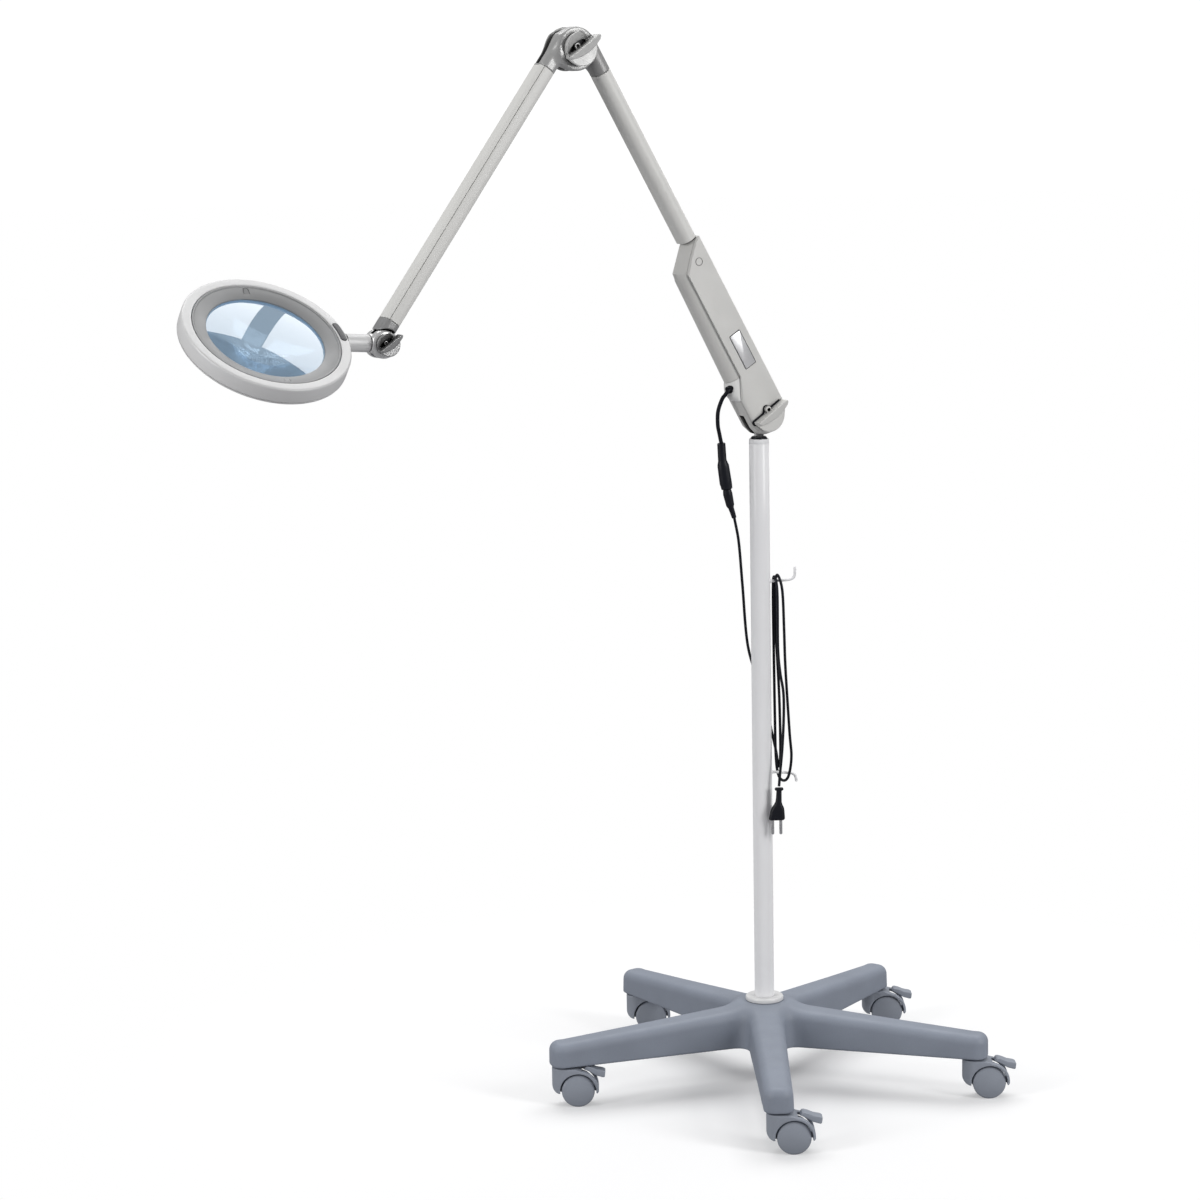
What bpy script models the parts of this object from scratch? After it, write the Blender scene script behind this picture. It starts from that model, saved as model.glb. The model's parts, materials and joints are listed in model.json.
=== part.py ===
"""Magnifying lamp on a five-star rolling stand, every piece a closed solid at real size.

World frame: origin at the centre of the flat face under the base hub, +Z up, floor 52 mm below.
Lengths are written in millimetres and scaled to metres when a mesh is made.
Every arm piece is modelled in its joint's frame: X along the arm, Z along the joint axis.
"""

import math

import bmesh
import bpy
from mathutils import Matrix, Vector

MM = 0.001
GAP = 0.3

# Base and castors
FLOOR_Z = -52.0
STAR_ARMS = 5
FIRST_ARM_AZIMUTH = 198.0
CASTOR_CIRCLE_R = 275.0
STAR_ARM_UNDERSIDE = 0.6
HUB_TOP_Z = 55.4
HUB_FACE_R = 50.0
STEM_R = 5.5
STEM_TOP_Z = 23.5
WHEEL_R = 21.0
WHEEL_TRAIL = 18.0
AXLE_R = 3.0

# Column
TUBE_R = 12.5
TUBE_BORE_R = 10.8
TUBE_FOOT_Z = 8.3
TUBE_TOP_Z = 787.0
SCREW_OFFSET = 7.6

# Arms: lean from the vertical, lengths between pivots, and section of both profiles
ARM_PLANE_AZIMUTH = 210.0
SHOULDER_Z = 819.2
LOWER_LEAN = 30.0
LOWER_LENGTH = 523.0
FOREARM_LEAN = 36.7
WRIST_X = 425.5
WRIST_Y = -10.9
PROFILE_WIDTH = 21.0
PROFILE_DEPTH = 28.0
PROFILE_CORNER = 7.5
PROFILE_WALL = 2.0
LOWER_TUBE_Y = -20.5
LOWER_TUBE_START = 243.3
LOWER_TUBE_END = 478.7
FOREARM_TUBE_Y = -16.0
FOREARM_TUBE_START = 41.3
FOREARM_TUBE_END = 398.3
SPIGOT_LENGTH = 20.0
SPIGOT_CORNER = 5.5

# Casing of the lower arm
CASING_HALF = 16.0
CASING_SIDE_Y = -31.0
CASING_END_R = 28.5
CASING_END_TUCK = 6.5
CASING_TOP_X = 243.0
COVER_THICKNESS = 2.5
# Top of the casing over its flat faces, and how far it swells above that on the middle plane:
# at the lower end, and along the half-round spine
LOW_FACE_Y = 16.7
LOW_SWELL = 6.5
SPINE_FACE_Y = 7.0
SPINE_SWELL = 10.6
SPINE_LOW_SWELL = 15.0
SPINE_HALF = 12.6
SPINE_TOP_X = 206.0
LOW_END_X = 33.0
SPINE_START_X = 60.0
LEAD_HOLE_X = 50.9

# Joints
BOLT_R = 4.0
BOLT_HOLE_R = 4.3
ELBOW_R = 26.0
ELBOW_HALF = 16.0
# The fork's slot lies off the middle: the cheek beside the knob is the thick one.
ELBOW_SLOT_MIDDLE = -5.0
ELBOW_SLOT_HALF = 6.0
ELBOW_TONGUE_HALF = 5.4
ELBOW_TONGUE_R = 15.0
WRIST_R = 17.0
WRIST_HALF = 14.0
WRIST_SLOT_HALF = 3.9
LARGE_KNOB_R = 21.2
SMALL_KNOB_R = 14.2
KNOB_SEAT_GAP = 0.4
KNOB_HEIGHT = 11.6
KNOB_BAR_TOP = 15.4
# Angle of each knob's bar from its arm's X axis
SHOULDER_BAR = -87.0
ELBOW_BAR = 160.3
WRIST_BAR = -142.0

# Head
NECK_TILT = 4.8
HEAD_ROLL = 35.5
HEAD_DISTANCE = 147.0
NECK_R = 10.4
NECK_START = 16.3
HEAD_R = 100.5
HEAD_TOP = 10.5
APERTURE_R = 70.0
LENS_R = 73.5
LENS_CURVE_R = 340.0
LENS_EDGE_HALF = 1.5

# Cables
LEAD_R = 2.5
MAINS_R = 1.8
HOOK_ROD_R = 1.75

COLOURS = {
    "base_grey": ((0.27, 0.30, 0.36), 0.55, 0.0),
    "castor_grey": ((0.22, 0.24, 0.29), 0.5, 0.0),
    "column_white": ((0.80, 0.81, 0.83), 0.3, 0.0),
    "collar_white": ((0.74, 0.75, 0.72), 0.4, 0.0),
    "arm_white": ((0.70, 0.70, 0.66), 0.35, 0.0),
    "casing_grey": ((0.52, 0.52, 0.49), 0.45, 0.1),
    "joint_grey": ((0.26, 0.26, 0.26), 0.4, 0.1),
    "knob_grey": ((0.62, 0.62, 0.60), 0.35, 0.0),
    "head_grey": ((0.78, 0.78, 0.78), 0.35, 0.0),
    "bezel_grey": ((0.40, 0.40, 0.40), 0.4, 0.1),
    "outlet_white": ((0.80, 0.80, 0.80), 0.4, 0.0),
    "black_plastic": ((0.015, 0.016, 0.02), 0.45, 0.0),
    "rubber_dark": ((0.07, 0.07, 0.075), 0.7, 0.0),
    "steel": ((0.60, 0.60, 0.60), 0.25, 1.0),
    "plate_silver": ((0.72, 0.72, 0.72), 0.3, 0.6),
    "lens_glass": ((0.90, 0.95, 1.0), 0.02, 0.0),
    "diffuser": ((0.92, 0.95, 1.0), 0.4, 0.0),
    "board_green": ((0.05, 0.22, 0.10), 0.4, 0.0),
}

materials = {}
world_of = {}


# ---------------------------------------------------------------- scene helpers

def clear_scene():
    for obj in list(bpy.data.objects):
        bpy.data.objects.remove(obj, do_unlink=True)


def make_materials():
    for slot, (colour, roughness, metallic) in COLOURS.items():
        material = bpy.data.materials.new(slot)
        material.use_nodes = True
        shader = material.node_tree.nodes["Principled BSDF"]
        shader.inputs["Base Color"].default_value = (*colour, 1.0)
        shader.inputs["Roughness"].default_value = roughness
        shader.inputs["Metallic"].default_value = metallic
        materials[slot] = material


def frame(name, origin, x_axis, z_axis, parent=None):
    """Empty at origin (world, mm) with its X and Z axes along the given world directions."""
    x_axis = Vector(x_axis).normalized()
    z_axis = Vector(z_axis).normalized()
    y_axis = z_axis.cross(x_axis)
    world = Matrix((x_axis, y_axis, z_axis)).transposed().to_4x4()
    world.translation = Vector(origin) * MM
    empty = bpy.data.objects.new(name, None)
    bpy.context.scene.collection.objects.link(empty)
    if parent:
        empty.parent = parent
        empty.matrix_basis = world_of[parent.name].inverted() @ world
    else:
        empty.matrix_basis = world
    world_of[empty.name] = world
    return empty


def place(name, bm, parent, slot=None, sharp=35.0):
    """Turns a bmesh in millimetres into an object of the parent's frame."""
    bmesh.ops.remove_doubles(bm, verts=bm.verts, dist=0.001)
    bmesh.ops.recalc_face_normals(bm, faces=bm.faces)
    bmesh.ops.scale(bm, vec=(MM, MM, MM), verts=bm.verts)
    mesh = bpy.data.meshes.new(name)
    bm.to_mesh(mesh)
    bm.free()
    mesh.shade_smooth()
    mesh.set_sharp_from_angle(angle=math.radians(sharp))
    obj = bpy.data.objects.new(name, mesh)
    bpy.context.scene.collection.objects.link(obj)
    obj.parent = parent
    if slot:
        mesh.materials.append(materials[slot])
    return obj


def guide(obj):
    obj.hide_render = True
    obj.display_type = "WIRE"


def combine(target, bm, operation):
    other = place(target.name + "_" + operation.lower(), bm, target.parent)
    guide(other)
    modifier = target.modifiers.new(operation.title(), "BOOLEAN")
    modifier.operation = operation
    modifier.object = other


def cut(target, bm):
    combine(target, bm, "DIFFERENCE")


def fuse(target, bm):
    combine(target, bm, "UNION")


def keep(target, bm):
    combine(target, bm, "INTERSECT")


def soften(target, width, segments=2, angle=50.0):
    modifier = target.modifiers.new("Soften", "BEVEL")
    modifier.width = width * MM
    modifier.segments = segments
    modifier.limit_method = "ANGLE"
    modifier.angle_limit = math.radians(angle)


# ---------------------------------------------------------------- shape helpers

def skin(bm, rings):
    """Closed solid through rings of equal length, capped at both ends."""
    rows = [[bm.verts.new(point) for point in ring] for ring in rings]
    count = len(rows[0])
    for low, high in zip(rows, rows[1:]):
        for i in range(count):
            j = (i + 1) % count
            bm.faces.new((low[i], low[j], high[j], high[i]))
    bm.faces.new(rows[0])
    bm.faces.new(rows[-1])
    return bm


def loft(rings):
    return skin(bmesh.new(), rings)


def prism(outline, low, high):
    """Outline in X and Y, extruded along Z."""
    return loft([[(x, y, z) for x, y in outline] for z in (low, high)])


def side_prism(outline, half):
    """Outline in X and Z, extruded along Y to both sides."""
    return loft([[(x, y, z) for x, z in outline] for y in (-half, half)])


def box(low, high):
    outline = [(low[0], low[1]), (high[0], low[1]), (high[0], high[1]), (low[0], high[1])]
    return prism(outline, low[2], high[2])


def arc(centre, radius, start, end, steps):
    """Points on a circle, from the start angle to the end angle in degrees."""
    points = []
    for i in range(steps + 1):
        angle = math.radians(start + (end - start) * i / steps)
        points.append((centre[0] + radius * math.cos(angle), centre[1] + radius * math.sin(angle)))
    return points


def circle(centre, radius, steps):
    return arc(centre, radius, 0.0, 360.0 - 360.0 / steps, steps - 1)


def rounded_rectangle(centre, width, depth, corner, steps=3):
    points = []
    for quarter, (sx, sy) in enumerate(((1, 1), (-1, 1), (-1, -1), (1, -1))):
        middle = (centre[0] + sx * (width / 2 - corner), centre[1] + sy * (depth / 2 - corner))
        points += arc(middle, corner, 90.0 * quarter, 90.0 * quarter + 90.0, steps)
    return points


def lathe(profile, segments):
    """Closed profile of (radius, height) turned about Z."""
    bm = bmesh.new()
    columns = []
    for radius, height in profile:
        if radius < 1e-6:
            columns.append([bm.verts.new((0.0, 0.0, height))] * segments)
            continue
        column = []
        for i in range(segments):
            angle = 2 * math.pi * i / segments
            point = (radius * math.cos(angle), radius * math.sin(angle), height)
            column.append(bm.verts.new(point))
        columns.append(column)
    for here, there in zip(columns, columns[1:] + columns[:1]):
        for i in range(segments):
            j = (i + 1) % segments
            corners = list(dict.fromkeys((here[i], here[j], there[j], there[i])))
            if len(corners) > 2:
                bm.faces.new(corners)
    return bm


def cylinder(radius, low, high, segments=24):
    return lathe([(0, low), (radius, low), (radius, high), (0, high)], segments)


def turned(bm, matrix):
    bmesh.ops.transform(bm, matrix=matrix, verts=bm.verts)
    return bm


def shifted(bm, x, y, z):
    return turned(bm, Matrix.Translation((x, y, z)))


def along_x(bm):
    return turned(bm, Matrix.Rotation(math.radians(90), 4, "Y"))


def along_y(bm):
    return turned(bm, Matrix.Rotation(math.radians(-90), 4, "X"))


def smooth_path(points, steps):
    """Catmull-Rom curve through the points."""
    points = [Vector(p) for p in points]
    ends = [2 * points[0] - points[1]] + points + [2 * points[-1] - points[-2]]
    path = []
    for a, b, c, d in zip(ends, ends[1:], ends[2:], ends[3:]):
        for i in range(steps):
            t = i / steps
            path.append(0.5 * (2 * b + (c - a) * t + (2 * a - 5 * b + 4 * c - d) * t * t
                               + (3 * b - a - 3 * c + d) * t ** 3))
    path.append(points[-1])
    return path


def swept(path, radii, sides=8):
    """Round bar along a path, its radius given at every point or once for all."""
    if not isinstance(radii, (list, tuple)):
        radii = [radii] * len(path)
    tangents = []
    for i in range(len(path)):
        ahead = path[min(i + 1, len(path) - 1)]
        behind = path[max(i - 1, 0)]
        tangents.append((ahead - behind).normalized())
    side = tangents[0].orthogonal().normalized()
    rings = []
    for point, tangent, radius in zip(path, tangents, radii):
        side = (side - tangent * side.dot(tangent)).normalized()
        other = tangent.cross(side)
        ring = []
        for i in range(sides):
            angle = 2 * math.pi * i / sides
            ring.append(point + radius * (math.cos(angle) * side + math.sin(angle) * other))
        rings.append(ring)
    return loft(rings)


# ---------------------------------------------------------------- base

def star_arm(azimuth):
    """One arm: flat underside, domed top that slopes outwards, rounded nose past the castor."""
    stations = (
        (12.0, 46.0, 53.0), (62.0, 45.0, 47.5), (180.0, 40.0, 38.0), (272.0, 37.0, 31.0),
        (283.0, 34.0, 29.5), (289.0, 28.0, 26.0), (292.0, 19.0, 19.0),
    )
    rings = []
    for reach, width, top in stations:
        half = width / 2
        corner = min(11.0, half * 0.6)
        side = [(half, STAR_ARM_UNDERSIDE), (half - 0.6, top - corner)]
        side += [(half - 0.6 - corner * 0.2, top - corner * 0.45), (half - corner * 0.6, top - corner * 0.12)]
        side += [(half - corner * 1.15, top)]
        section = side + [(-y, z) for y, z in reversed(side)]
        rings.append([(reach, y, z) for y, z in section])
    return turned(loft(rings), Matrix.Rotation(math.radians(azimuth), 4, "Z"))


def arm_azimuths():
    return [FIRST_ARM_AZIMUTH + 360.0 / STAR_ARMS * i for i in range(STAR_ARMS)]


def castor_points():
    points = []
    for azimuth in arm_azimuths():
        angle = math.radians(azimuth)
        points.append((CASTOR_CIRCLE_R * math.cos(angle), CASTOR_CIRCLE_R * math.sin(angle)))
    return points


def base_star():
    hub = lathe([(0, 0), (HUB_FACE_R, 0), (HUB_FACE_R, 4), (48, 24), (42, 38), (34, 49),
                 (28, HUB_TOP_Z), (0, HUB_TOP_Z)], 30)
    star = place("base_star", hub, None, "base_grey")
    for azimuth in arm_azimuths():
        fuse(star, star_arm(azimuth))
    cut(star, cylinder(TUBE_R + GAP, TUBE_FOOT_Z - GAP, HUB_TOP_Z + 5, 24))
    for side in (-1, 1):
        cut(star, shifted(cylinder(2.8, -1, 12, 10), side * SCREW_OFFSET, 0, 0))
        cut(star, shifted(cylinder(4.7, -1, 4, 12), side * SCREW_OFFSET, 0, 0))
    for x, y in castor_points():
        cut(star, shifted(cylinder(STEM_R + GAP, -4, STEM_TOP_Z + GAP, 12), x, y, 0))


def base_collar():
    low = HUB_TOP_Z + GAP
    profile = [(TUBE_R + GAP, low), (24.0, low), (24.5, low + 0.8), (24.5, low + 3.6),
               (23.4, low + 5.2), (21.8, low + 5.7), (TUBE_R + GAP, low + 5.7)]
    place("base_collar", lathe(profile, 28), None, "collar_white")


def column():
    foot = TUBE_FOOT_Z
    profile = [(0, foot), (TUBE_R, foot), (TUBE_R, TUBE_TOP_Z - 0.8), (TUBE_R - 0.8, TUBE_TOP_Z),
               (TUBE_BORE_R, TUBE_TOP_Z), (TUBE_BORE_R, foot + 13), (0, foot + 13)]
    tube = place("column_tube", lathe(profile, 26), None, "column_white")
    for side in (-1, 1):
        # The screws reach into the plug at the foot of the tube.
        cut(tube, shifted(cylinder(2.6, foot - 2, foot + 10.4, 10), side * SCREW_OFFSET, 0, 0))
    for index, side in enumerate((-1, 1)):
        shape = lathe([(0, 0.4), (4.3, 0.4), (4.3, 3.7), (2.3, 3.7), (2.3, 18.0), (0, 18.0)], 12)
        place("column_screw_%d" % (index + 1), shifted(shape, side * SCREW_OFFSET, 0, 0), None, "steel")
    top = TUBE_TOP_Z
    bush = [(6.3, top - 32), (10.5, top - 32), (10.5, top + 0.6), (9.6, top + 2.0), (6.3, top + 2.0)]
    place("column_bush", lathe(bush, 20), None, "black_plastic")


def cable_hook(name, z, reach, turn):
    """Rod hook on the column: out to the side, then its tip turned up or down."""
    rise = math.copysign(1.0, turn)
    points = [(TUBE_R + GAP, 0, z), (reach - 8, 0, z + 1.5 * rise), (reach - 2.2, 0, z + 3.5 * rise)]
    points += [(reach, 0, z + 7.5 * rise), (reach + 0.5, 0, z + turn)]
    place(name, swept(smooth_path(points, 2), HOOK_ROD_R), None, "column_white")


# ---------------------------------------------------------------- castors

def castor_outline():
    """Side view of the castor body, seen from the wheel's axle: x forwards to the trailing side."""
    front = -WHEEL_TRAIL - 15.5
    outline = [(front, 29.3), (front, 6.5)]
    outline += arc((front + 10, 6.5), 10, 180, 270, 4)[1:]
    outline += [(-10, -8), (0, -10), (10, -8), (22.0, -3.0), (26.4, -2.5)]
    outline += arc((0, 0), 26.5, 0, 84, 6)
    outline += [(-4, 29.3)]
    return outline


def castor(index, x, y):
    swivel = frame("castor_%d_swivel" % index, (x, y, FLOOR_Z + WHEEL_R), (1, 0, 0), (0, 0, 1))
    axle_at = (x + WHEEL_TRAIL, y, FLOOR_Z + WHEEL_R)
    roll = frame("castor_%d_roll" % index, axle_at, (1, 0, 0), (0, 0, 1), swivel)
    housing = place("castor_%d_housing" % index, side_prism(castor_outline(), 17.0), roll, "castor_grey")
    plan = arc((-WHEEL_TRAIL, 0), 15.5, 270, 90, 8)
    plan = plan + [(-8, 17), (22, 17), (27, 12), (27, -12), (22, -17), (-8, -17)]
    keep(housing, prism(plan, -20, 40))
    for side in (-1, 1):
        pocket = along_y(cylinder(23.0, 3.5, 20.0, 20))
        if side < 0:
            pocket = turned(pocket, Matrix.Rotation(math.pi, 4, "Z"))
        cut(housing, pocket)
    cut(housing, along_y(cylinder(AXLE_R + GAP + 0.2, -5, 5, 10)))
    # Window in the hood below the brake lever.
    cut(housing, side_prism([(5.5, 21.6), (5.5, 34), (32, 34), (32, 8), (21.5, 8), (15, 17)], 8.6))
    fuse(housing, shifted(cylinder(STEM_R, 20.0, STEM_TOP_Z - FLOOR_Z - WHEEL_R, 12), -WHEEL_TRAIL, 0, 0))

    half = [(AXLE_R, 4.0), (19.9, 4.0), (WHEEL_R, 5.4), (WHEEL_R, 12.4), (19.0, 14.6)]
    half += [(11.0, 16.2), (0.0, 16.7)]
    profile = [(r, -h) for r, h in reversed(half)] + half
    wheels = along_y(lathe(profile, 18))
    place("castor_%d_wheels" % index, wheels, roll, "castor_grey")

    lever = [(6.2, 27.8), (9.0, 30.1), (12.0, 30.4), (26.0, 26.2), (35.0, 24.0), (34.2, 17.4)]
    lever += [(27.5, 18.6), (20.0, 20.0), (12.0, 25.2)]
    brake = place("castor_%d_brake" % index, side_prism(lever, 8.0), roll, "castor_grey")
    soften(brake, 0.8, 1)


# ---------------------------------------------------------------- arm frames

def plane_vector(out, up):
    """Direction in the plane of the arms: out along the lean, up along the column."""
    azimuth = math.radians(ARM_PLANE_AZIMUTH)
    return Vector((out * math.cos(azimuth), out * math.sin(azimuth), up))


def joint_axis():
    azimuth = math.radians(ARM_PLANE_AZIMUTH + 90.0)
    return Vector((math.cos(azimuth), math.sin(azimuth), 0.0))


def arm_frames():
    axis = joint_axis()
    lean = math.radians(LOWER_LEAN)
    lower_x = plane_vector(math.sin(lean), math.cos(lean))
    shoulder_at = Vector((0, 0, SHOULDER_Z))
    turn = frame("arm_swivel", (0, 0, TUBE_TOP_Z), (1, 0, 0), (0, 0, 1))
    shoulder = frame("shoulder", shoulder_at, lower_x, axis, turn)
    elbow_at = shoulder_at + lower_x * LOWER_LENGTH
    lower_end = frame("elbow_fixed", elbow_at, lower_x, axis, shoulder)
    drop = math.radians(FOREARM_LEAN)
    fore_x = plane_vector(math.sin(drop), -math.cos(drop))
    elbow = frame("elbow", elbow_at, fore_x, axis, shoulder)
    fore_y = axis.cross(fore_x)
    wrist_at = elbow_at + fore_x * WRIST_X + fore_y * WRIST_Y
    fore_end = frame("wrist_fixed", wrist_at, fore_x, axis, elbow)
    tilt = math.radians(NECK_TILT)
    neck_x = plane_vector(math.cos(tilt), math.sin(tilt))
    wrist = frame("wrist", wrist_at, neck_x, axis, elbow)
    roll = math.radians(HEAD_ROLL)
    flat = -axis.cross(neck_x)
    normal = flat * math.cos(roll) + axis * math.sin(roll)
    head = frame("head", wrist_at + neck_x * HEAD_DISTANCE, neck_x, normal, wrist)
    knob_frames = [frame(n + "_knob_turn", at, x, axis, p) for n, at, x, p in (
        ("shoulder", shoulder_at, lower_x, shoulder),
        ("elbow", elbow_at, fore_x, elbow),
        ("wrist", wrist_at, neck_x, wrist))]
    return turn, shoulder, lower_end, elbow, fore_end, wrist, head, knob_frames


# ---------------------------------------------------------------- shared joint pieces

def profile_ring(x, y, width, depth, corner):
    return [(x, a, b) for a, b in rounded_rectangle((y, 0), width, depth, corner)]


def spigot(x, length, y):
    """Tongue that fills the bore of an arm profile."""
    width = PROFILE_WIDTH - 2 * PROFILE_WALL - 2 * GAP
    depth = PROFILE_DEPTH - 2 * PROFILE_WALL - 2 * GAP
    return loft([profile_ring(a, y, width, depth, SPIGOT_CORNER) for a in (x, x + length)])


def channel_plug(start, end, y):
    """Tongue that fills the forearm's channel below its cover strip."""
    width = PROFILE_WIDTH - 2 * PROFILE_WALL - 5.0
    depth = PROFILE_DEPTH - 2 * PROFILE_WALL - 1.2
    return loft([profile_ring(x, y + 2.0, width, depth, 5.0) for x in (start, end)])


def bolt(name, parent, half, radius, thread_end, head_r):
    """Joint bolt: round head against the far cheek, shank through to the knob."""
    back = -half - GAP
    profile = [(0, back - 3.2), (head_r - 0.8, back - 3.2), (head_r, back - 2.4), (head_r, back)]
    profile += [(radius, back), (radius, thread_end), (0, thread_end)]
    place(name, lathe(profile, 16), parent, "steel")


def knob_bar_outline(scale):
    """Bar grip seen along the axis: one straight flank, one bowed, its far end past the rim."""
    points = [(-19.6, 2.2), (-20.2, -1.0), (-17.0, -3.4), (-6.0, -7.0), (6.0, -8.4), (18.0, -7.0),
              (26.0, -4.0), (28.8, -1.2), (28.6, 1.2), (26.6, 2.2)]
    return [(x * scale, y * scale) for x, y in points]


def knob(name, parent, radius, face, deep, bar_angle, shank_r, half=False):
    """Clamp knob: a cup that narrows towards its seat, dished on one side of a thick bar.

    With half set the dished side is left away, and only a low boss stays round the shank.
    """
    base = face + KNOB_SEAT_GAP
    top = base + KNOB_HEIGHT * deep
    scale = radius / LARGE_KNOB_R
    turn = Matrix.Rotation(math.radians(bar_angle), 4, "Z")
    body = lathe([(0, base), (radius - 2.6, base), (radius, top - 1), (radius - 1, top), (0, top)], 24)
    obj = place(name, body, parent, "knob_grey")
    grip = prism(knob_bar_outline(scale), base + 2, base + KNOB_BAR_TOP * deep)
    fuse(obj, turned(grip, turn))
    floor = base + 4.4 * deep
    if half:
        room = arc((0, 0), radius + 3, 5.2, 174.8, 12) + arc((0, 0), 6.0, 158.5, 21.5, 8)
        cut(obj, turned(prism(room, base - 1, base + 30), turn))
        cut(obj, turned(box((-7, 2.2, floor + 1.2), (7, 8, base + 30)), turn))
    else:
        flank = 2.6 * scale
        slope = (top - 0.8 - floor) / (radius - 1.6 - flank)
        recess = arc((0, 0), radius - 1.6, 10, 170, 10)
        low = [(x, max(y, flank), floor + slope * (max(y, flank) - flank)) for x, y in recess]
        high = [(x, y, base + 30) for x, y, z in low]
        cut(obj, turned(loft([low, high]), turn))
    cut(obj, cylinder(shank_r + GAP, base - 1, floor - 0.3, 12))


def clevis_path(centre_angle, angle_span, half_width, reach):
    """Plan of the room a tongue sweeps: it points to centre_angle and turns by angle_span to each side."""
    first = centre_angle - angle_span
    last = centre_angle + angle_span
    points = []
    for angle, side in ((first, -90), (last, 90)):
        direction = Vector((math.cos(math.radians(angle)), math.sin(math.radians(angle))))
        normal = Vector((math.cos(math.radians(angle + side)), math.sin(math.radians(angle + side))))
        points.append((direction, normal))
    outer = []
    for i in range(5):
        angle = first + (last - first) * i / 4
        direction = Vector((math.cos(math.radians(angle)), math.sin(math.radians(angle))))
        outer.append(tuple(direction * reach * 1.4))
    start = points[0][1] * half_width + points[0][0] * reach
    end = points[1][1] * half_width + points[1][0] * reach
    back = arc((0, 0), half_width, last + 90, first - 90 + 360, 8)
    return [tuple(start)] + outer + [tuple(end)] + back


# ---------------------------------------------------------------- lower arm

def swivel_yoke(parent_turn, shoulder):
    pin = lathe([(0, -27.0), (5.2, -27.0), (6.0, -26.0), (6.0, 2.3), (7.0, 2.3), (7.0, 3.1), (0, 3.1)], 20)
    yoke = place("swivel_yoke", pin, parent_turn, "joint_grey")
    rise = SHOULDER_Z - TUBE_TOP_Z
    axis = joint_axis()
    upright = Matrix((plane_vector(0, 1), axis.cross(plane_vector(0, 1)), axis)).transposed().to_4x4()
    upright.translation = Vector((0, 0, rise))
    tongue = [(-rise + 2.7, -6.5), (-22, -6.5), (-15, -11.8)] + arc((0, 0), 12.0, -90, 90, 8)
    tongue += [(-15, 11.8), (-22, 6.5), (-rise + 2.7, 6.5)]
    fuse(yoke, turned(prism(tongue, -4.6, 4.6), upright))
    cut(yoke, turned(cylinder(BOLT_HOLE_R, -8, 8, 16), upright))


def low_end_height(n):
    """Top of the casing's lower end at height n: over the faces, plus a full swell between them."""
    return LOW_FACE_Y + LOW_SWELL * max(0.0, 1.0 - abs(n / CASING_HALF) ** 3) ** (1.0 / 3.0)


def spine_height(x, n):
    """Top of the half-round spine, which grows fuller towards the lower end."""
    share = (SPINE_TOP_X - x) / (SPINE_TOP_X - SPINE_START_X)
    swell = SPINE_SWELL + (SPINE_LOW_SWELL - SPINE_SWELL) * share
    return SPINE_FACE_Y + swell * math.sqrt(max(0.0, 1.0 - (n / SPINE_HALF) ** 2))


def casing_outline(n, inset):
    """Outline of the lower casing in the plane at height n above the arm's middle plane.

    The flat faces lie at n = 16. Towards the middle the lower end and the spine swell out, and the
    scooped shoulder beside the tube moves up, so the flat face ends in a lancet.
    """
    right = CASING_SIDE_Y + inset
    points = [(CASING_TOP_X - inset * 0.4, right)]
    tuck = CASING_END_TUCK * (1.0 - math.sqrt(max(0.0, 1.0 - (n / CASING_HALF) ** 2)))
    for i in range(13):
        turn = i / 12.0
        share = min(1.0, 1.6 * turn)
        radius = CASING_END_R - inset - tuck * share * share * (3.0 - 2.0 * share)
        angle = math.radians(270.0 - 144.0 * turn)
        points.append((radius * math.cos(angle), -2.5 + radius * math.sin(angle)))
    low_end = low_end_height(n) - inset * 0.5
    points += [(-6.0, low_end), (LOW_END_X, low_end)]
    for x in (SPINE_START_X, SPINE_START_X + 2.0, SPINE_TOP_X):
        points.append((x, spine_height(x, n) - inset * 0.3))
    # Scoop: straight on the middle plane, bowed on the flat face.
    scoop = 1.0 - abs(n) / CASING_HALF
    for t in (0.0, 0.25, 0.5, 0.75, 1.0):
        face = Vector((209 + 37.5 * t - 5 * t * t, 6.7 - 34.6 * t))
        middle = Vector((218 + 25 * t, 17.6 - 27.6 * t))
        point = face.lerp(middle, scoop)
        points.append((point.x, min(point.y, spine_height(SPINE_TOP_X, n)) if t == 0.0 else point.y))
    return points


def casing_rings(levels):
    return [[(x, y, n) for x, y in casing_outline(n, inset)] for n, inset in levels]


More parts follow.
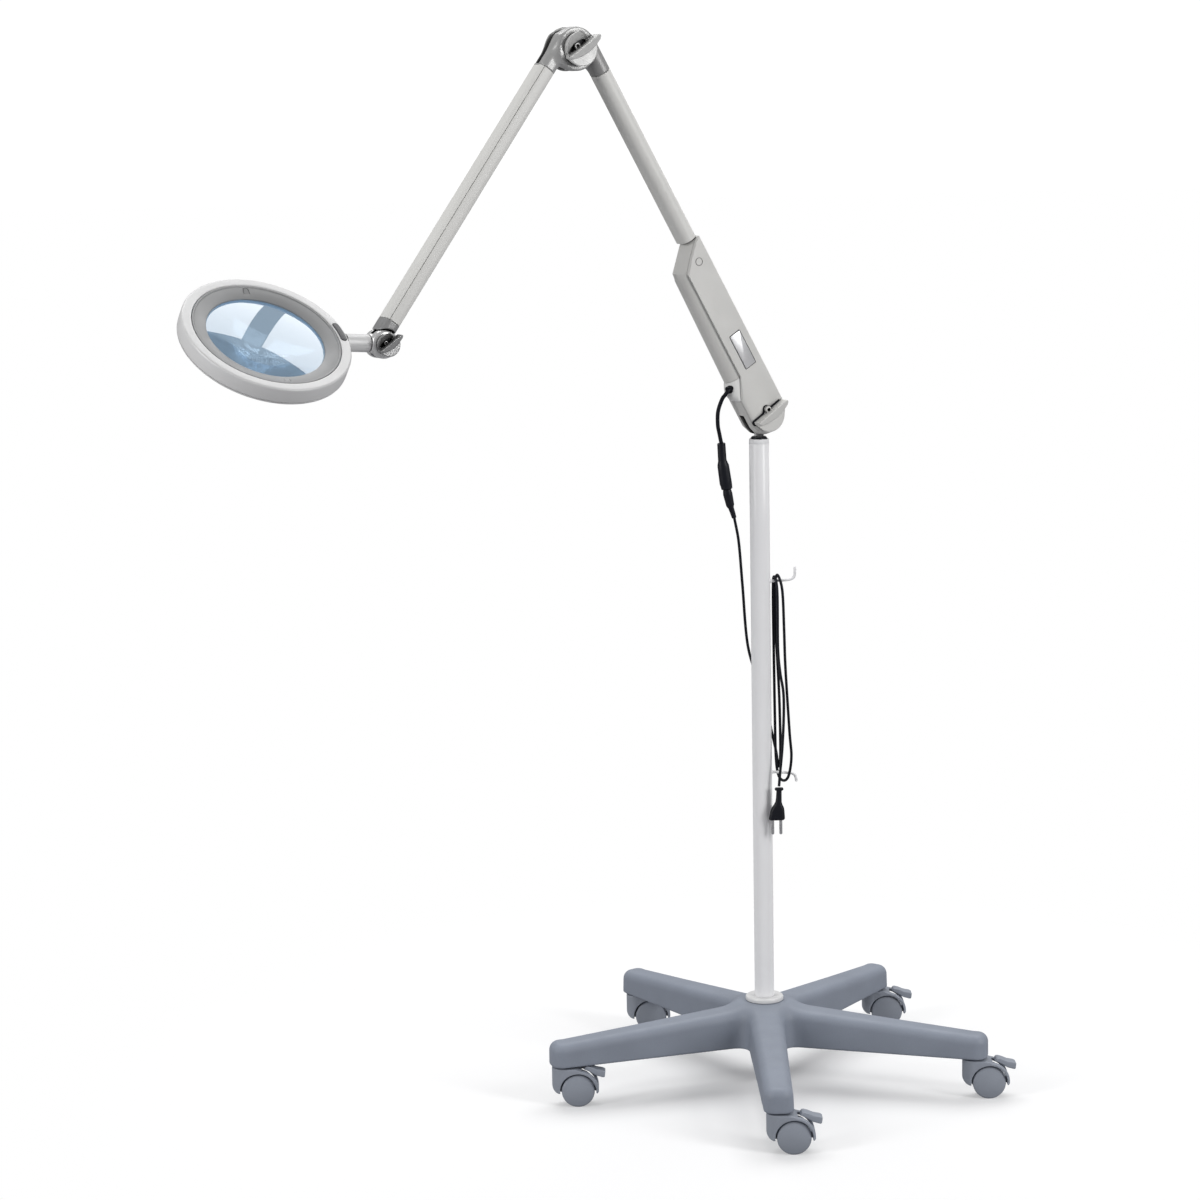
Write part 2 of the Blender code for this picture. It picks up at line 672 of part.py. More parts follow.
def casing(shoulder):
    cover_low = CASING_HALF - COVER_THICKNESS
    levels = ((-16.0, 2.0), (-15.2, 0.7), (-13.5, 0.0), (-11.0, 0.0), (-6.5, 0.0), (0.0, 0.0),
              (6.5, 0.0), (11.0, 0.0), (cover_low - GAP, 0.0))
    shell = place("casing_shell", loft(casing_rings(levels)), shoulder, "casing_grey")
    cut(shell, box((30.5, -28.3, -13.4), (203.0, 4.2, 25.0)))
    cut(shell, box((33.0, 7.8, -20.0), (59.6, 30.0, 20.0)))
    slot = clevis_path(180.0 - 37.5, 49.5, 12.5, 45.0)
    cut(shell, prism(slot, -5.0, 5.0))
    cut(shell, cylinder(BOLT_HOLE_R, -30, 30, 16))
    fuse(shell, spigot(CASING_TOP_X - 4, 4 + SPIGOT_LENGTH, LOWER_TUBE_Y))

    cover_levels = ((cover_low, 0.6), (CASING_HALF - 0.8, 0.8), (CASING_HALF, 1.8))
    rings = casing_rings(cover_levels)
    cover = place("casing_cover", loft(rings), shoulder, "casing_grey")
    cut(cover, cylinder(BOLT_HOLE_R, 0, 30, 16))

    outlet = place("lead_outlet", outlet_block(), shoulder, "outlet_white")
    cut(outlet, shifted(along_y(cylinder(3.4, -3, 30, 16)), LEAD_HOLE_X, 4.0, 0.0))
    plate = rounded_rectangle((88.3, -12.6), 47.0, 16.0, 1.2, 2)
    place("label_plate", prism(plate, CASING_HALF + GAP, CASING_HALF + 1.2), shoulder, "plate_silver")
    driver = place("led_driver", box((88.0, -24.0, -13.0), (182.0, 0.0, 7.0)), shoulder, "black_plastic")
    soften(driver, 1.0, 1)


def outlet_block():
    """White block let into the casing where the lead leaves, flush with the surface round it."""
    low, high, seat = LOW_END_X + GAP, SPINE_START_X - 0.7, 8.1
    rings = []
    for n in (-15.4, -14.0, -12.4, -9.0, -4.5, 0.0, 4.5, 9.0, 12.4, 12.9):
        ring = [(low, seat, n), (high, seat, n)]
        for x in (high, 46.0, low):
            share = (x - LOW_END_X) / (SPINE_START_X - LOW_END_X)
            y = low_end_height(n) * (1.0 - share) + spine_height(SPINE_START_X, n) * share
            ring.append((x, max(y, seat + 0.4), n))
        rings.append(ring)
    return loft(rings)


def profile_tube(name, parent, start, end, y, slot):
    tube = place(name, loft([profile_ring(x, y, PROFILE_WIDTH, PROFILE_DEPTH, PROFILE_CORNER)
                             for x in (start, end)]), parent, slot)
    inner = (PROFILE_WIDTH - 2 * PROFILE_WALL, PROFILE_DEPTH - 2 * PROFILE_WALL, PROFILE_CORNER - 2)
    cut(tube, loft([profile_ring(x, y, *inner) for x in (start - 5, end + 5)]))
    return tube


def elbow_knuckle(lower_end):
    """End piece of the lower tube: full section beside the fork, a flat tongue inside it."""
    start = LOWER_TUBE_END + GAP - LOWER_LENGTH
    rings = []
    for x, trim in ((start, 0.0), (-20.0, 0.0), (-12.0, 1.2), (-8.0, 5.0)):
        width = PROFILE_WIDTH - trim
        rings.append(profile_ring(x, LOWER_TUBE_Y, width, PROFILE_DEPTH - trim, PROFILE_CORNER))
    knuckle = place("elbow_knuckle", loft(rings), lower_end, "joint_grey")
    cut(knuckle, cylinder(ELBOW_R + 0.8, -30, 30, 32))
    low = ELBOW_SLOT_MIDDLE - ELBOW_TONGUE_HALF
    high = ELBOW_SLOT_MIDDLE + ELBOW_TONGUE_HALF
    tongue = [(start + 9, -28.0), (-12.0, -28.0), (-4.0, -14.0)] + arc((0, 0), ELBOW_TONGUE_R, -75, 160, 14)
    fuse(knuckle, prism(tongue + [(start + 9, -12.5)], low, high))
    cut(knuckle, cylinder(BOLT_HOLE_R, low - 3, high + 3, 16))
    fuse(knuckle, spigot(start - SPIGOT_LENGTH, SPIGOT_LENGTH + 6, LOWER_TUBE_Y))


# ---------------------------------------------------------------- forearm

def elbow_clevis(elbow):
    neck_y = FOREARM_TUBE_Y - PROFILE_WIDTH / 2
    outline = arc((0, 0), ELBOW_R, 0, 270, 20) + [(6.0, neck_y), (38.0, neck_y), (38.0, neck_y + 21.0)]
    outline += [(33.0, -5.0), (29.0, -3.6)]
    clevis = place("elbow_clevis", prism(outline, -ELBOW_HALF, ELBOW_HALF), elbow, "joint_grey")
    soften(clevis, 2.0, 1, 60.0)
    end = FOREARM_TUBE_START - GAP
    block = [profile_ring(x, FOREARM_TUBE_Y, PROFILE_WIDTH - t, PROFILE_DEPTH - t, PROFILE_CORNER)
             for x, t in ((30.0, 0.5), (end, 0.0))]
    fuse(clevis, loft(block))
    # The fork is open all round except where it joins the forearm profile.
    slot = box((-40, -40, ELBOW_SLOT_MIDDLE - ELBOW_SLOT_HALF),
               (35.0, 40, ELBOW_SLOT_MIDDLE + ELBOW_SLOT_HALF))
    cut(clevis, slot)
    cut(clevis, cylinder(BOLT_HOLE_R, -30, 30, 16))
    fuse(clevis, channel_plug(end - 2, end + SPIGOT_LENGTH, FOREARM_TUBE_Y))


def forearm(elbow):
    """Channel open on its outer side, closed by a snap-in cover strip over its full length."""
    start, end = FOREARM_TUBE_START, FOREARM_TUBE_END
    tube = profile_tube("forearm_profile", elbow, start, end, FOREARM_TUBE_Y, "arm_white")
    seam = FOREARM_TUBE_Y - PROFILE_WIDTH / 2 + 4.0
    cut(tube, box((start - 5, seam - 12, -20), (end + 5, seam, 20)))
    rings = []
    for x in (start, end):
        section = [(a, b) for a, b in rounded_rectangle((FOREARM_TUBE_Y, 0), PROFILE_WIDTH, PROFILE_DEPTH,
                                                        PROFILE_CORNER) if a < seam - 0.5]
        section = sorted(section, key=lambda p: p[1])
        edge = PROFILE_DEPTH / 2 - 1.0
        section = [(seam - 0.5, -edge)] + section + [(seam - 0.5, edge)]
        rings.append([(x, a, b) for a, b in section])
    place("forearm_cover", loft(rings), elbow, "arm_white")


def wrist_tongue(fore_end):
    """Dark end piece of the forearm: short full section, then a tongue into the wrist fork."""
    start = FOREARM_TUBE_END + GAP - WRIST_X
    y = FOREARM_TUBE_Y - WRIST_Y
    rings = [profile_ring(x, y, PROFILE_WIDTH - t, PROFILE_DEPTH - t, PROFILE_CORNER)
             for x, t in ((start, 0.0), (-12.0, 0.5), (-8.0, 3.0))]
    piece = place("wrist_tongue", loft(rings), fore_end, "joint_grey")
    cut(piece, cylinder(WRIST_R + 0.7, -30, 30, 32))
    tongue = [(start + 5, -12.0)] + arc((0, 0), 12.0, -110, 110, 14) + [(start + 5, 3.0)]
    fuse(piece, prism(tongue, -3.5, 3.5))
    cut(piece, cylinder(BOLT_HOLE_R - 1, -8, 8, 16))
    fuse(piece, channel_plug(start - SPIGOT_LENGTH, start + 4, y))


# ---------------------------------------------------------------- wrist and head

def wrist_clevis(wrist):
    body = place("wrist_clevis", prism(circle((0, 0), WRIST_R, 24), -WRIST_HALF, WRIST_HALF),
                 wrist, "casing_grey")
    soften(body, 2.0, 1)
    end = NECK_START - GAP
    fuse(body, along_x(cylinder(NECK_R, 0, end, 20)))
    cut(body, box((end, -30, -30), (40, 30, 30)))
    cut(body, box((-30, -30, -WRIST_SLOT_HALF), (12.4, 30, WRIST_SLOT_HALF)))
    cut(body, cylinder(BOLT_HOLE_R - 1, -30, 30, 16))
    fuse(body, along_x(cylinder(7.0, end - 2, end + 14, 16)))


def neck_tube(head):
    """Neck between wrist and head: turns on the wrist's spigot, plugs into the head's wall."""
    near = NECK_START - HEAD_DISTANCE
    wall = -HEAD_R - 0.6
    profile = [(7.4, near), (NECK_R, near), (NECK_R, wall), (6.7, wall), (6.7, wall + 8)]
    profile += [(4.0, wall + 8), (4.0, near + 15), (7.4, near + 15)]
    place("neck_tube", along_x(lathe(profile, 20)), head, "head_grey")


def head_housing(head):
    r = HEAD_R
    profile = [(r - 3.0, -8.5), (r - 0.5, -8.5), (r, -8.0), (r, 8.6), (r - 0.7, 9.9), (r - 2.2, HEAD_TOP)]
    profile += [(89.0, HEAD_TOP), (88.4, 9.9), (88.4, 7.2), (r - 3.4, 7.2), (r - 3.0, 6.8)]
    housing = place("head_housing", lathe(profile, 44), head, "head_grey")
    cut(housing, along_x(cylinder(7.0, -HEAD_R - 5, -HEAD_R + 12, 20)))
    switch = switch_outline(0.4)
    cut(housing, prism(switch, 6.0, 14.0))


def switch_outline(grow):
    """Oblong following the rim, beside the neck."""
    middle_r, half_width, half_angle = 94.3, 3.7 + grow, 8.8 + grow * 0.6
    azimuth = 184.0
    outer = arc((0, 0), middle_r + half_width, azimuth - half_angle, azimuth + half_angle, 6)
    inner = arc((0, 0), middle_r - half_width, azimuth + half_angle, azimuth - half_angle, 6)
    return outer + inner


def power_switch(head):
    switch = place("power_switch", prism(switch_outline(0.0), 7.8, HEAD_TOP + 0.9), head, "rubber_dark")
    soften(switch, 0.7, 1)


def lens_surface(r):
    """Height of the lens face above its edge."""
    edge = math.sqrt(LENS_CURVE_R ** 2 - LENS_R ** 2)
    return math.sqrt(LENS_CURVE_R ** 2 - r * r) - edge


def head_inside(head):
    bezel = [(APERTURE_R, 2.9), (APERTURE_R, 4.6), (APERTURE_R + 0.8, 5.1), (87.2, 9.9), (88.1, 9.9),
             (88.1, 7.4), (86.0, 6.9), (APERTURE_R + 3, 2.9)]
    place("head_bezel", lathe(bezel, 36), head, "bezel_grey")
    for index, azimuth in enumerate((89.0, 269.0)):
        angle = math.radians(azimuth)
        pad = shifted(cylinder(3.6, 8.2, 8.9, 12), 79.0 * math.cos(angle), 79.0 * math.sin(angle), 0.9)
        place("bezel_plug_%d" % (index + 1), pad, head, "bezel_grey")

    radii = [LENS_R * i / 5 for i in range(6)]
    top = [(r, LENS_EDGE_HALF + lens_surface(r)) for r in radii]
    profile = top + [(r, -z) for r, z in reversed(top)]
    place("lens", lathe(profile, 36), head, "lens_glass")
    retainer = [(APERTURE_R + 1, -3.0), (76.0, -2.4), (76.6, -12.0), (75.0, -12.8), (71.5, -12.2)]
    place("lens_retainer", lathe(retainer, 32), head, "head_grey")
    board = [(78.0, -2.6), (87.5, -2.6), (87.5, -1.0), (78.0, -1.0)]
    place("led_board", lathe(board, 28), head, "board_green")
    diffuser = [(77.0, -11.6), (88.0, -11.6), (88.0, -9.6), (77.0, -9.6)]
    place("led_diffuser", lathe(diffuser, 32), head, "diffuser")
    lower = [(88.4, -12.6), (97.0, -12.4), (HEAD_R - 0.6, -10.2), (HEAD_R - 0.2, -8.8), (HEAD_R - 4.0, -8.8),
             (HEAD_R - 4.6, -7.0), (88.4, -7.0)]
    place("lower_cover", lathe(lower, 44), head, "head_grey")


# ---------------------------------------------------------------- cables

def lamp_lead():
    path = smooth_path([(-31.8, -18.35, 856.8), (-38.2, -22.1, 852.5), (-46.6, -25.2, 841.5),
                        (-52.0, -25.0, 825.0), (-52.5, -23.0, 808.0), (-50.3, -20.0, 795.0),
                        (-48.3, -18.2, 784.6)], 3)
    place("lamp_lead", swept(path, LEAD_R), None, "black_plastic")


def inline_connector():
    """Socket on the lamp's lead and the plug of the mains lead pushed into it."""
    along = [Vector(p) for p in ((-48.2, -18.0, 784.2), (-47.2, -17.2, 763.0), (-46.6, -16.8, 757.5),
                                 (-43.0, -14.6, 733.0), (-41.6, -13.8, 725.5))]
    place("lead_socket", swept(along, [3.6, 4.3, 7.2, 7.8, 7.0], 10), None, "black_plastic")
    along = [Vector(p) for p in ((-41.5, -13.7, 725.0), (-40.6, -13.0, 719.0), (-37.2, -10.6, 703.0),
                                 (-34.6, -9.2, 695.0), (-32.6, -8.2, 688.0))]
    place("lead_plug", swept(along, [5.2, 6.0, 4.6, 3.2, 2.7], 10), None, "black_plastic")


def mains_cable():
    """From the plug, behind the column, twice over the upper hook and under the lower one, to the plug."""
    points = [(-32.4, -8.1, 687.6), (-27.0, -4.0, 656.0), (-22.5, 5.0, 600.0), (-16.0, 15.5, 520.0),
              (-2.0, 20.5, 470.0), (11.0, 19.0, 432.0), (19.5, 12.0, 412.0)]
    for turn in range(2):
        x = 19.0 + 6.5 * turn
        points += [(x + 3, 5.5, 440.0), (x + 2, 5.0, 594.0), (x, 0.0, 612.0), (x - 2, -5.0, 594.0)]
        if turn == 0:
            points += [(x - 2, -6.5, 366.0), (x + 2, 0.0, 345.0), (x + 6, 6.5, 366.0)]
    points += [(22.0, -9.0, 420.0), (20.5, -16.5, 370.0), (20.2, -18.2, 342.3)]
    place("mains_cable", swept(smooth_path(points, 3), MAINS_R, 6), None, "black_plastic")


def mains_plug():
    """Flat two-pin plug: ribbed grip, waist, wide body, two round pins."""
    y = -18.5
    sections = ((340.5, 20.2, 3.4, 3.2), (337.8, 20.2, 5.4, 3.8), (336.2, 20.1, 3.4, 3.4),
                (322.0, 19.4, 4.0, 3.9), (314.5, 18.4, 8.2, 4.7), (301.0, 17.2, 10.2, 5.0),
                (298.6, 16.8, 9.2, 4.8))
    rings = []
    for z, x, half, depth in sections:
        rings.append([(px, y + py, z) for px, py in rounded_rectangle((x, 0), 2 * half, 2 * depth,
                                                                      min(half, depth) * 0.75, 2)])
    place("mains_plug", loft(rings), None, "black_plastic")
    for index, side in enumerate((-1, 1)):
        pin = lathe([(0, 279.4), (1.3, 279.4), (2.0, 280.4), (2.0, 298.2), (0, 298.2)], 10)
        place("plug_pin_%d" % (index + 1), shifted(pin, 16.8 + side * 5.2, y, 0), None, "steel")


# ---------------------------------------------------------------- assembly

def build():
    clear_scene()
    make_materials()
    base_star()
    base_collar()
    column()
    cable_hook("upper_cable_hook", 605.0, 43.5, 16.5)
    cable_hook("lower_cable_hook", 357.0, 43.0, -11.5)
    for index, (x, y) in enumerate(castor_points()):
        castor(index + 1, x, y)

    turn, shoulder, lower_end, elbow, fore_end, wrist, head, knob_frames = arm_frames()
    swivel_yoke(turn, shoulder)
    casing(shoulder)
    profile_tube("lower_arm_tube", shoulder, LOWER_TUBE_START, LOWER_TUBE_END, LOWER_TUBE_Y, "arm_white")
    bolt("shoulder_bolt", shoulder, CASING_HALF, BOLT_R, CASING_HALF + 3.6, 8.0)
    elbow_knuckle(lower_end)
    elbow_clevis(elbow)
    bolt("elbow_bolt", elbow, ELBOW_HALF, BOLT_R, ELBOW_HALF + 4.0, 8.0)
    forearm(elbow)
    wrist_tongue(fore_end)
    wrist_clevis(wrist)
    bolt("wrist_bolt", wrist, WRIST_HALF, BOLT_R - 1, WRIST_HALF + 3.0, 5.5)
    knob("shoulder_knob", knob_frames[0], LARGE_KNOB_R, CASING_HALF, 0.9, SHOULDER_BAR, BOLT_R, True)
    knob("elbow_knob", knob_frames[1], LARGE_KNOB_R, ELBOW_HALF, 1.0, ELBOW_BAR, BOLT_R)
    knob("wrist_knob", knob_frames[2], SMALL_KNOB_R, WRIST_HALF, 0.85, WRIST_BAR, BOLT_R - 1)

    neck_tube(head)
    head_housing(head)
    head_inside(head)
    power_switch(head)

    lamp_lead()
    inline_connector()
    mains_cable()
    mains_plug()


build()
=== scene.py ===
"""Looks of the magnifying lamp on its five-star stand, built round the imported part.

Shapes are written in millimetres in the frame of the joint they belong to, and those frames come
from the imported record. Soft moulded pieces are distance fields turned into meshes.
"""

import json
from itertools import product
from math import atan2, copysign, cos, hypot, pi, radians, sin, sqrt

import bmesh
import bpy
import numpy as np
from mathutils import Matrix, Vector


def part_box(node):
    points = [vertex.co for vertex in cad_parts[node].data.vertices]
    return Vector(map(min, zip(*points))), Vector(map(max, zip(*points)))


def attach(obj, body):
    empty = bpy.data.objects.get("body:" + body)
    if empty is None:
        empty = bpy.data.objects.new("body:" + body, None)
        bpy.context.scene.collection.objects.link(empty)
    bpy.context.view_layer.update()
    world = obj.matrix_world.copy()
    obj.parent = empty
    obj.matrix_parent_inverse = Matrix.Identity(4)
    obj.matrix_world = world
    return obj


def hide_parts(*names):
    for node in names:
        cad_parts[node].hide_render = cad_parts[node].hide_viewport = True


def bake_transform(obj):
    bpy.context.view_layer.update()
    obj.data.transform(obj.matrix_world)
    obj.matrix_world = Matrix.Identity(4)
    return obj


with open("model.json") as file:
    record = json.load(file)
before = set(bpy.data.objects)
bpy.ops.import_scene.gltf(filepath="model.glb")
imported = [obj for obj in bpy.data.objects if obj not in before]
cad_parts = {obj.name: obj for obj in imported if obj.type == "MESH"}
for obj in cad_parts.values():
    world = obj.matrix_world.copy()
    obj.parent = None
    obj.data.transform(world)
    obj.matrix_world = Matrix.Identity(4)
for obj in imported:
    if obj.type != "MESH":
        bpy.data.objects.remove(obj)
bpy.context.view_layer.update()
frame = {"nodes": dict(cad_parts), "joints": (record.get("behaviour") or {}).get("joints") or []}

JOINTS = {joint["name"]: joint for joint in frame["joints"]}
MM = 0.001
WORLD = Matrix.Identity(4)
WHEEL_R = 21
FLOOR_Z = JOINTS["castor_1_roll"]["pos_m"][2] / MM - WHEEL_R

# Frames of the joints


def joint_point(name):
    return Vector(JOINTS[name]["pos_m"]) / MM


def joint_direction(name):
    return Vector(JOINTS[name]["axis"]).normalized()


def frame_at(origin, x_axis, z_axis):
    x_axis = Vector(x_axis).normalized()
    z_axis = Vector(z_axis).normalized()
    matrix = Matrix((x_axis, z_axis.cross(x_axis), z_axis)).transposed().to_4x4()
    matrix.translation = Vector(origin)
    return matrix


AXIS = joint_direction("shoulder_tilt")
SHOULDER = joint_point("shoulder_tilt")
ELBOW = joint_point("elbow_tilt")
WRIST = joint_point("wrist_tilt")
HEAD = joint_point("head_roll")
WRIST_X = 425.5
WRIST_Y = -10.9
LOWER_X = (ELBOW - SHOULDER).normalized()
FOREARM_X = Matrix.Rotation(atan2(-WRIST_Y, WRIST_X), 3, AXIS) @ (WRIST - ELBOW)
NECK_X = joint_direction("head_roll")
LOWER = frame_at(SHOULDER, LOWER_X, AXIS)
LOWER_END = frame_at(ELBOW, LOWER_X, AXIS)
FOREARM = frame_at(ELBOW, FOREARM_X, AXIS)
FOREARM_END = frame_at(WRIST, FOREARM_X, AXIS)
WRIST_FRAME = frame_at(WRIST, NECK_X, AXIS)
HEAD_FRAME = frame_at(HEAD, NECK_X, -joint_direction("switch_press"))
SWIVEL = frame_at(SHOULDER, (0, 0, 1), AXIS)
CASTORS = [joint_point("castor_%d_swivel" % n) for n in range(1, 6)]


# Outlines and solids


def polar(radius, degrees):
    angle = radians(degrees)
    return radius * cos(angle), radius * sin(angle)


def arc(centre, radius, start, end, steps):
    points = [polar(radius, start + (end - start) * i / steps) for i in range(steps + 1)]
    return [(centre[0] + x, centre[1] + y) for x, y in points]


def rounded_rectangle(centre, width, depth, corner, steps=8):
    points = []
    for quarter, (sx, sy) in enumerate(((1, 1), (-1, 1), (-1, -1), (1, -1))):
        middle = (centre[0] + sx * (width / 2 - corner), centre[1] + sy * (depth / 2 - corner))
        points += arc(middle, corner, 90 * quarter, 90 * quarter + 90, steps)
    return points


def loft(rings):
    """Closed skin through rings of equal length."""
    count = len(rings[0])
    verts = [tuple(point) for ring in rings for point in ring]
    faces = []
    for row in range(len(rings) - 1):
        for i in range(count):
            j = (i + 1) % count
            low = row * count
            high = low + count
            faces.append((low + i, low + j, high + j, high + i))
    faces.append(tuple(range(count)))
    faces.append(tuple(range(len(verts) - count, len(verts))))
    return verts, faces


def prism(outline, low, high):
    return loft([[(x, y, z) for x, y in outline] for z in (low, high)])


def lathe(profile, segments=96):
    """Closed profile of (radius, height) turned about Z."""
    verts = []
    columns = []
    for radius, height in profile:
        if radius < 1e-6:
            columns.append([len(verts)] * segments)
            verts.append((0, 0, height))
            continue
        columns.append(list(range(len(verts), len(verts) + segments)))
        for i in range(segments):
            angle = 2 * pi * i / segments
            verts.append((radius * cos(angle), radius * sin(angle), height))
    faces = []
    for here, there in zip(columns, columns[1:] + columns[:1]):
        for i in range(segments):
            j = (i + 1) % segments
            corners = tuple(dict.fromkeys((here[i], here[j], there[j], there[i])))
            if len(corners) > 2:
                faces.append(corners)
    return verts, faces


def turned(shape, matrix):
    verts, faces = shape
    return [tuple(matrix @ Vector(v)) for v in verts], faces


def rectangle(left, right, low, high):
    return [(left, low), (right, low), (right, high), (left, high)]


ALONG_X = Matrix.Rotation(radians(90), 4, "Y")
ALONG_Y = Matrix.Rotation(radians(-90), 4, "X")


def joined(*shapes):
    verts = []
    faces = []
    for part_verts, part_faces in shapes:
        start = len(verts)
        verts += list(part_verts)
        faces += [tuple(i + start for i in face) for face in part_faces]
    return verts, faces


def smooth_path(points, steps):
    """Catmull-Rom curve through the points."""
    points = [Vector(p) for p in points]
    ends = [2 * points[0] - points[1]] + points + [2 * points[-1] - points[-2]]
    path = []
    for a, b, c, d in zip(ends, ends[1:], ends[2:], ends[3:]):
        for i in range(steps):
            t = i / steps
            path.append(0.5 * (2 * b + (c - a) * t + (2 * a - 5 * b + 4 * c - d) * t * t
                               + (3 * b - a - 3 * c + d) * t ** 3))
    path.append(points[-1])
    return path


def swept(path, radii, sides=16, round_ends=False):
    if not isinstance(radii, list):
        radii = [radii] * len(path)
    if round_ends:
        first = (path[0] - path[1]).normalized()
        last = (path[-1] - path[-2]).normalized()
        caps = [(0.98, 0.2), (0.87, 0.5), (0.6, 0.8)]
        head = [(path[0] + first * radii[0] * a, radii[0] * b) for a, b in caps]
        tail = [(path[-1] + last * radii[-1] * a, radii[-1] * b) for a, b in reversed(caps)]
        path = [p for p, r in head] + path + [p for p, r in tail]
        radii = [r for p, r in head] + radii + [r for p, r in tail]
    tangents = []
    for i in range(len(path)):
        tangents.append((path[min(i + 1, len(path) - 1)] - path[max(i - 1, 0)]).normalized())
    side = tangents[0].orthogonal().normalized()
    rings = []
    for point, tangent, radius in zip(path, tangents, radii):
        side = (side - tangent * side.dot(tangent)).normalized()
        other = tangent.cross(side)
        ring = []
        for i in range(sides):
            angle = 2 * pi * i / sides
            ring.append(point + radius * (cos(angle) * side + sin(angle) * other))
        rings.append(ring)
    return loft(rings)


# Distance fields


def smooth_min(a, b, width):
    share = np.clip(0.5 + 0.5 * (b - a) / width, 0, 1)
    return b + (a - b) * share - width * share * (1 - share)


def smooth_max(a, b, width):
    return -smooth_min(-a, -b, width)


def round_edge(a, b, radius):
    """Both fields at once, with the edge between them rounded."""
    a = a + radius
    b = b + radius
    outside = np.sqrt(np.maximum(a, 0) ** 2 + np.maximum(b, 0) ** 2)
    return outside + np.minimum(np.maximum(a, b), 0) - radius


def from_axis(u, v):
    return np.sqrt(u * u + v * v)


def between(value, low, high):
    return np.maximum(low - value, value - high)


def polygon(u, v, points):
    """Signed distance in a plane to a closed outline, negative inside."""
    nearest = None
    inside = None
    for (ax, ay), (bx, by) in zip(points, points[1:] + points[:1]):
        ex = bx - ax
        ey = by - ay
        wx = u - ax
        wy = v - ay
        t = np.clip((wx * ex + wy * ey) / (ex * ex + ey * ey + 1e-12), 0, 1)
        gap = (wx - ex * t) ** 2 + (wy - ey * t) ** 2
        crossing = ((ay > v) != (by > v)) & (wx < ex * wy / (ey if abs(ey) > 1e-9 else 1e-9))
        nearest = gap if nearest is None else np.minimum(nearest, gap)
        inside = crossing if inside is None else inside ^ crossing
    return np.where(inside, -1, 1) * np.sqrt(nearest)


def net(field_of, low, high, step):
    """Mesh of the surface where a distance field is zero, one vertex in each crossed cell."""
    low = np.array(low, float)
    count = np.ceil((np.array(high, float) - low) / step).astype(int) + 1
    axes = [low[i] + step * np.arange(count[i]) for i in range(3)]
    x, y, z = np.meshgrid(*axes, indexing="ij", sparse=True)
    field = np.broadcast_to(field_of(x, y, z), count).astype(np.float32)
    cells = tuple(count - 1)
    total = np.zeros(cells + (3,), np.float32)
    hits = np.zeros(cells, np.float32)

    def corner_values(c):
        return field[c[0]:count[0] - 1 + c[0], c[1]:count[1] - 1 + c[1], c[2]:count[2] - 1 + c[2]]

    for a in product((0, 1), repeat=3):
        for axis in range(3):
            if a[axis]:
                continue
            b = list(a)
            b[axis] = 1
            here = corner_values(a)
            there = corner_values(b)
            crossed = (here < 0) != (there < 0)
            t = here[crossed] / (here[crossed] - there[crossed])
            point = np.repeat(np.array([a], np.float32), len(t), axis=0)
            point[:, axis] = t
            total[crossed] += point
            hits[crossed] += 1
    active = hits > 0
    number = np.full(cells, -1, int)
    number[active] = np.arange(int(active.sum()))
    where = np.argwhere(active)
    verts = low + step * (where + total[active] / hits[active][:, None])
    faces = []
    for axis in range(3):
        u = (axis + 1) % 3
        v = (axis + 2) % 3
        size = [slice(1, n - 1) for n in count]
        size[axis] = slice(0, count[axis] - 1)
        ahead = list(size)
        ahead[axis] = slice(1, count[axis])
        here = field[tuple(size)] < 0
        there = field[tuple(ahead)] < 0
        cell = np.argwhere(here != there)
        outward = here[here != there]
        for i in range(3):
            if i != axis:
                cell[:, i] += 1
        quad = []
        for du, dv in ((0, 0), (-1, 0), (-1, -1), (0, -1)):
            index = cell.copy()
            index[:, u] += du
            index[:, v] += dv
            quad.append(number[index[:, 0], index[:, 1], index[:, 2]])
        quad = np.stack(quad, 1)
        quad[~outward] = quad[~outward][:, ::-1]
        faces.append(quad)
    return verts, np.concatenate(faces).tolist()


# Finishes

MATERIALS = {}
EDGE_EASE = 0.0005
# How far ambient occlusion looks for the painted crevice shade.
CREVICE_SHADE_REACH = 0.022
GRAIN_DEPTH = 0.0006
# Black that the painted crevice shade darkens towards, and the share of it in the finishes that have it.
SHADE_BLACK = (0.004, 0.004, 0.005, 1)
CREVICE_SHADE_SHARE = 0.97
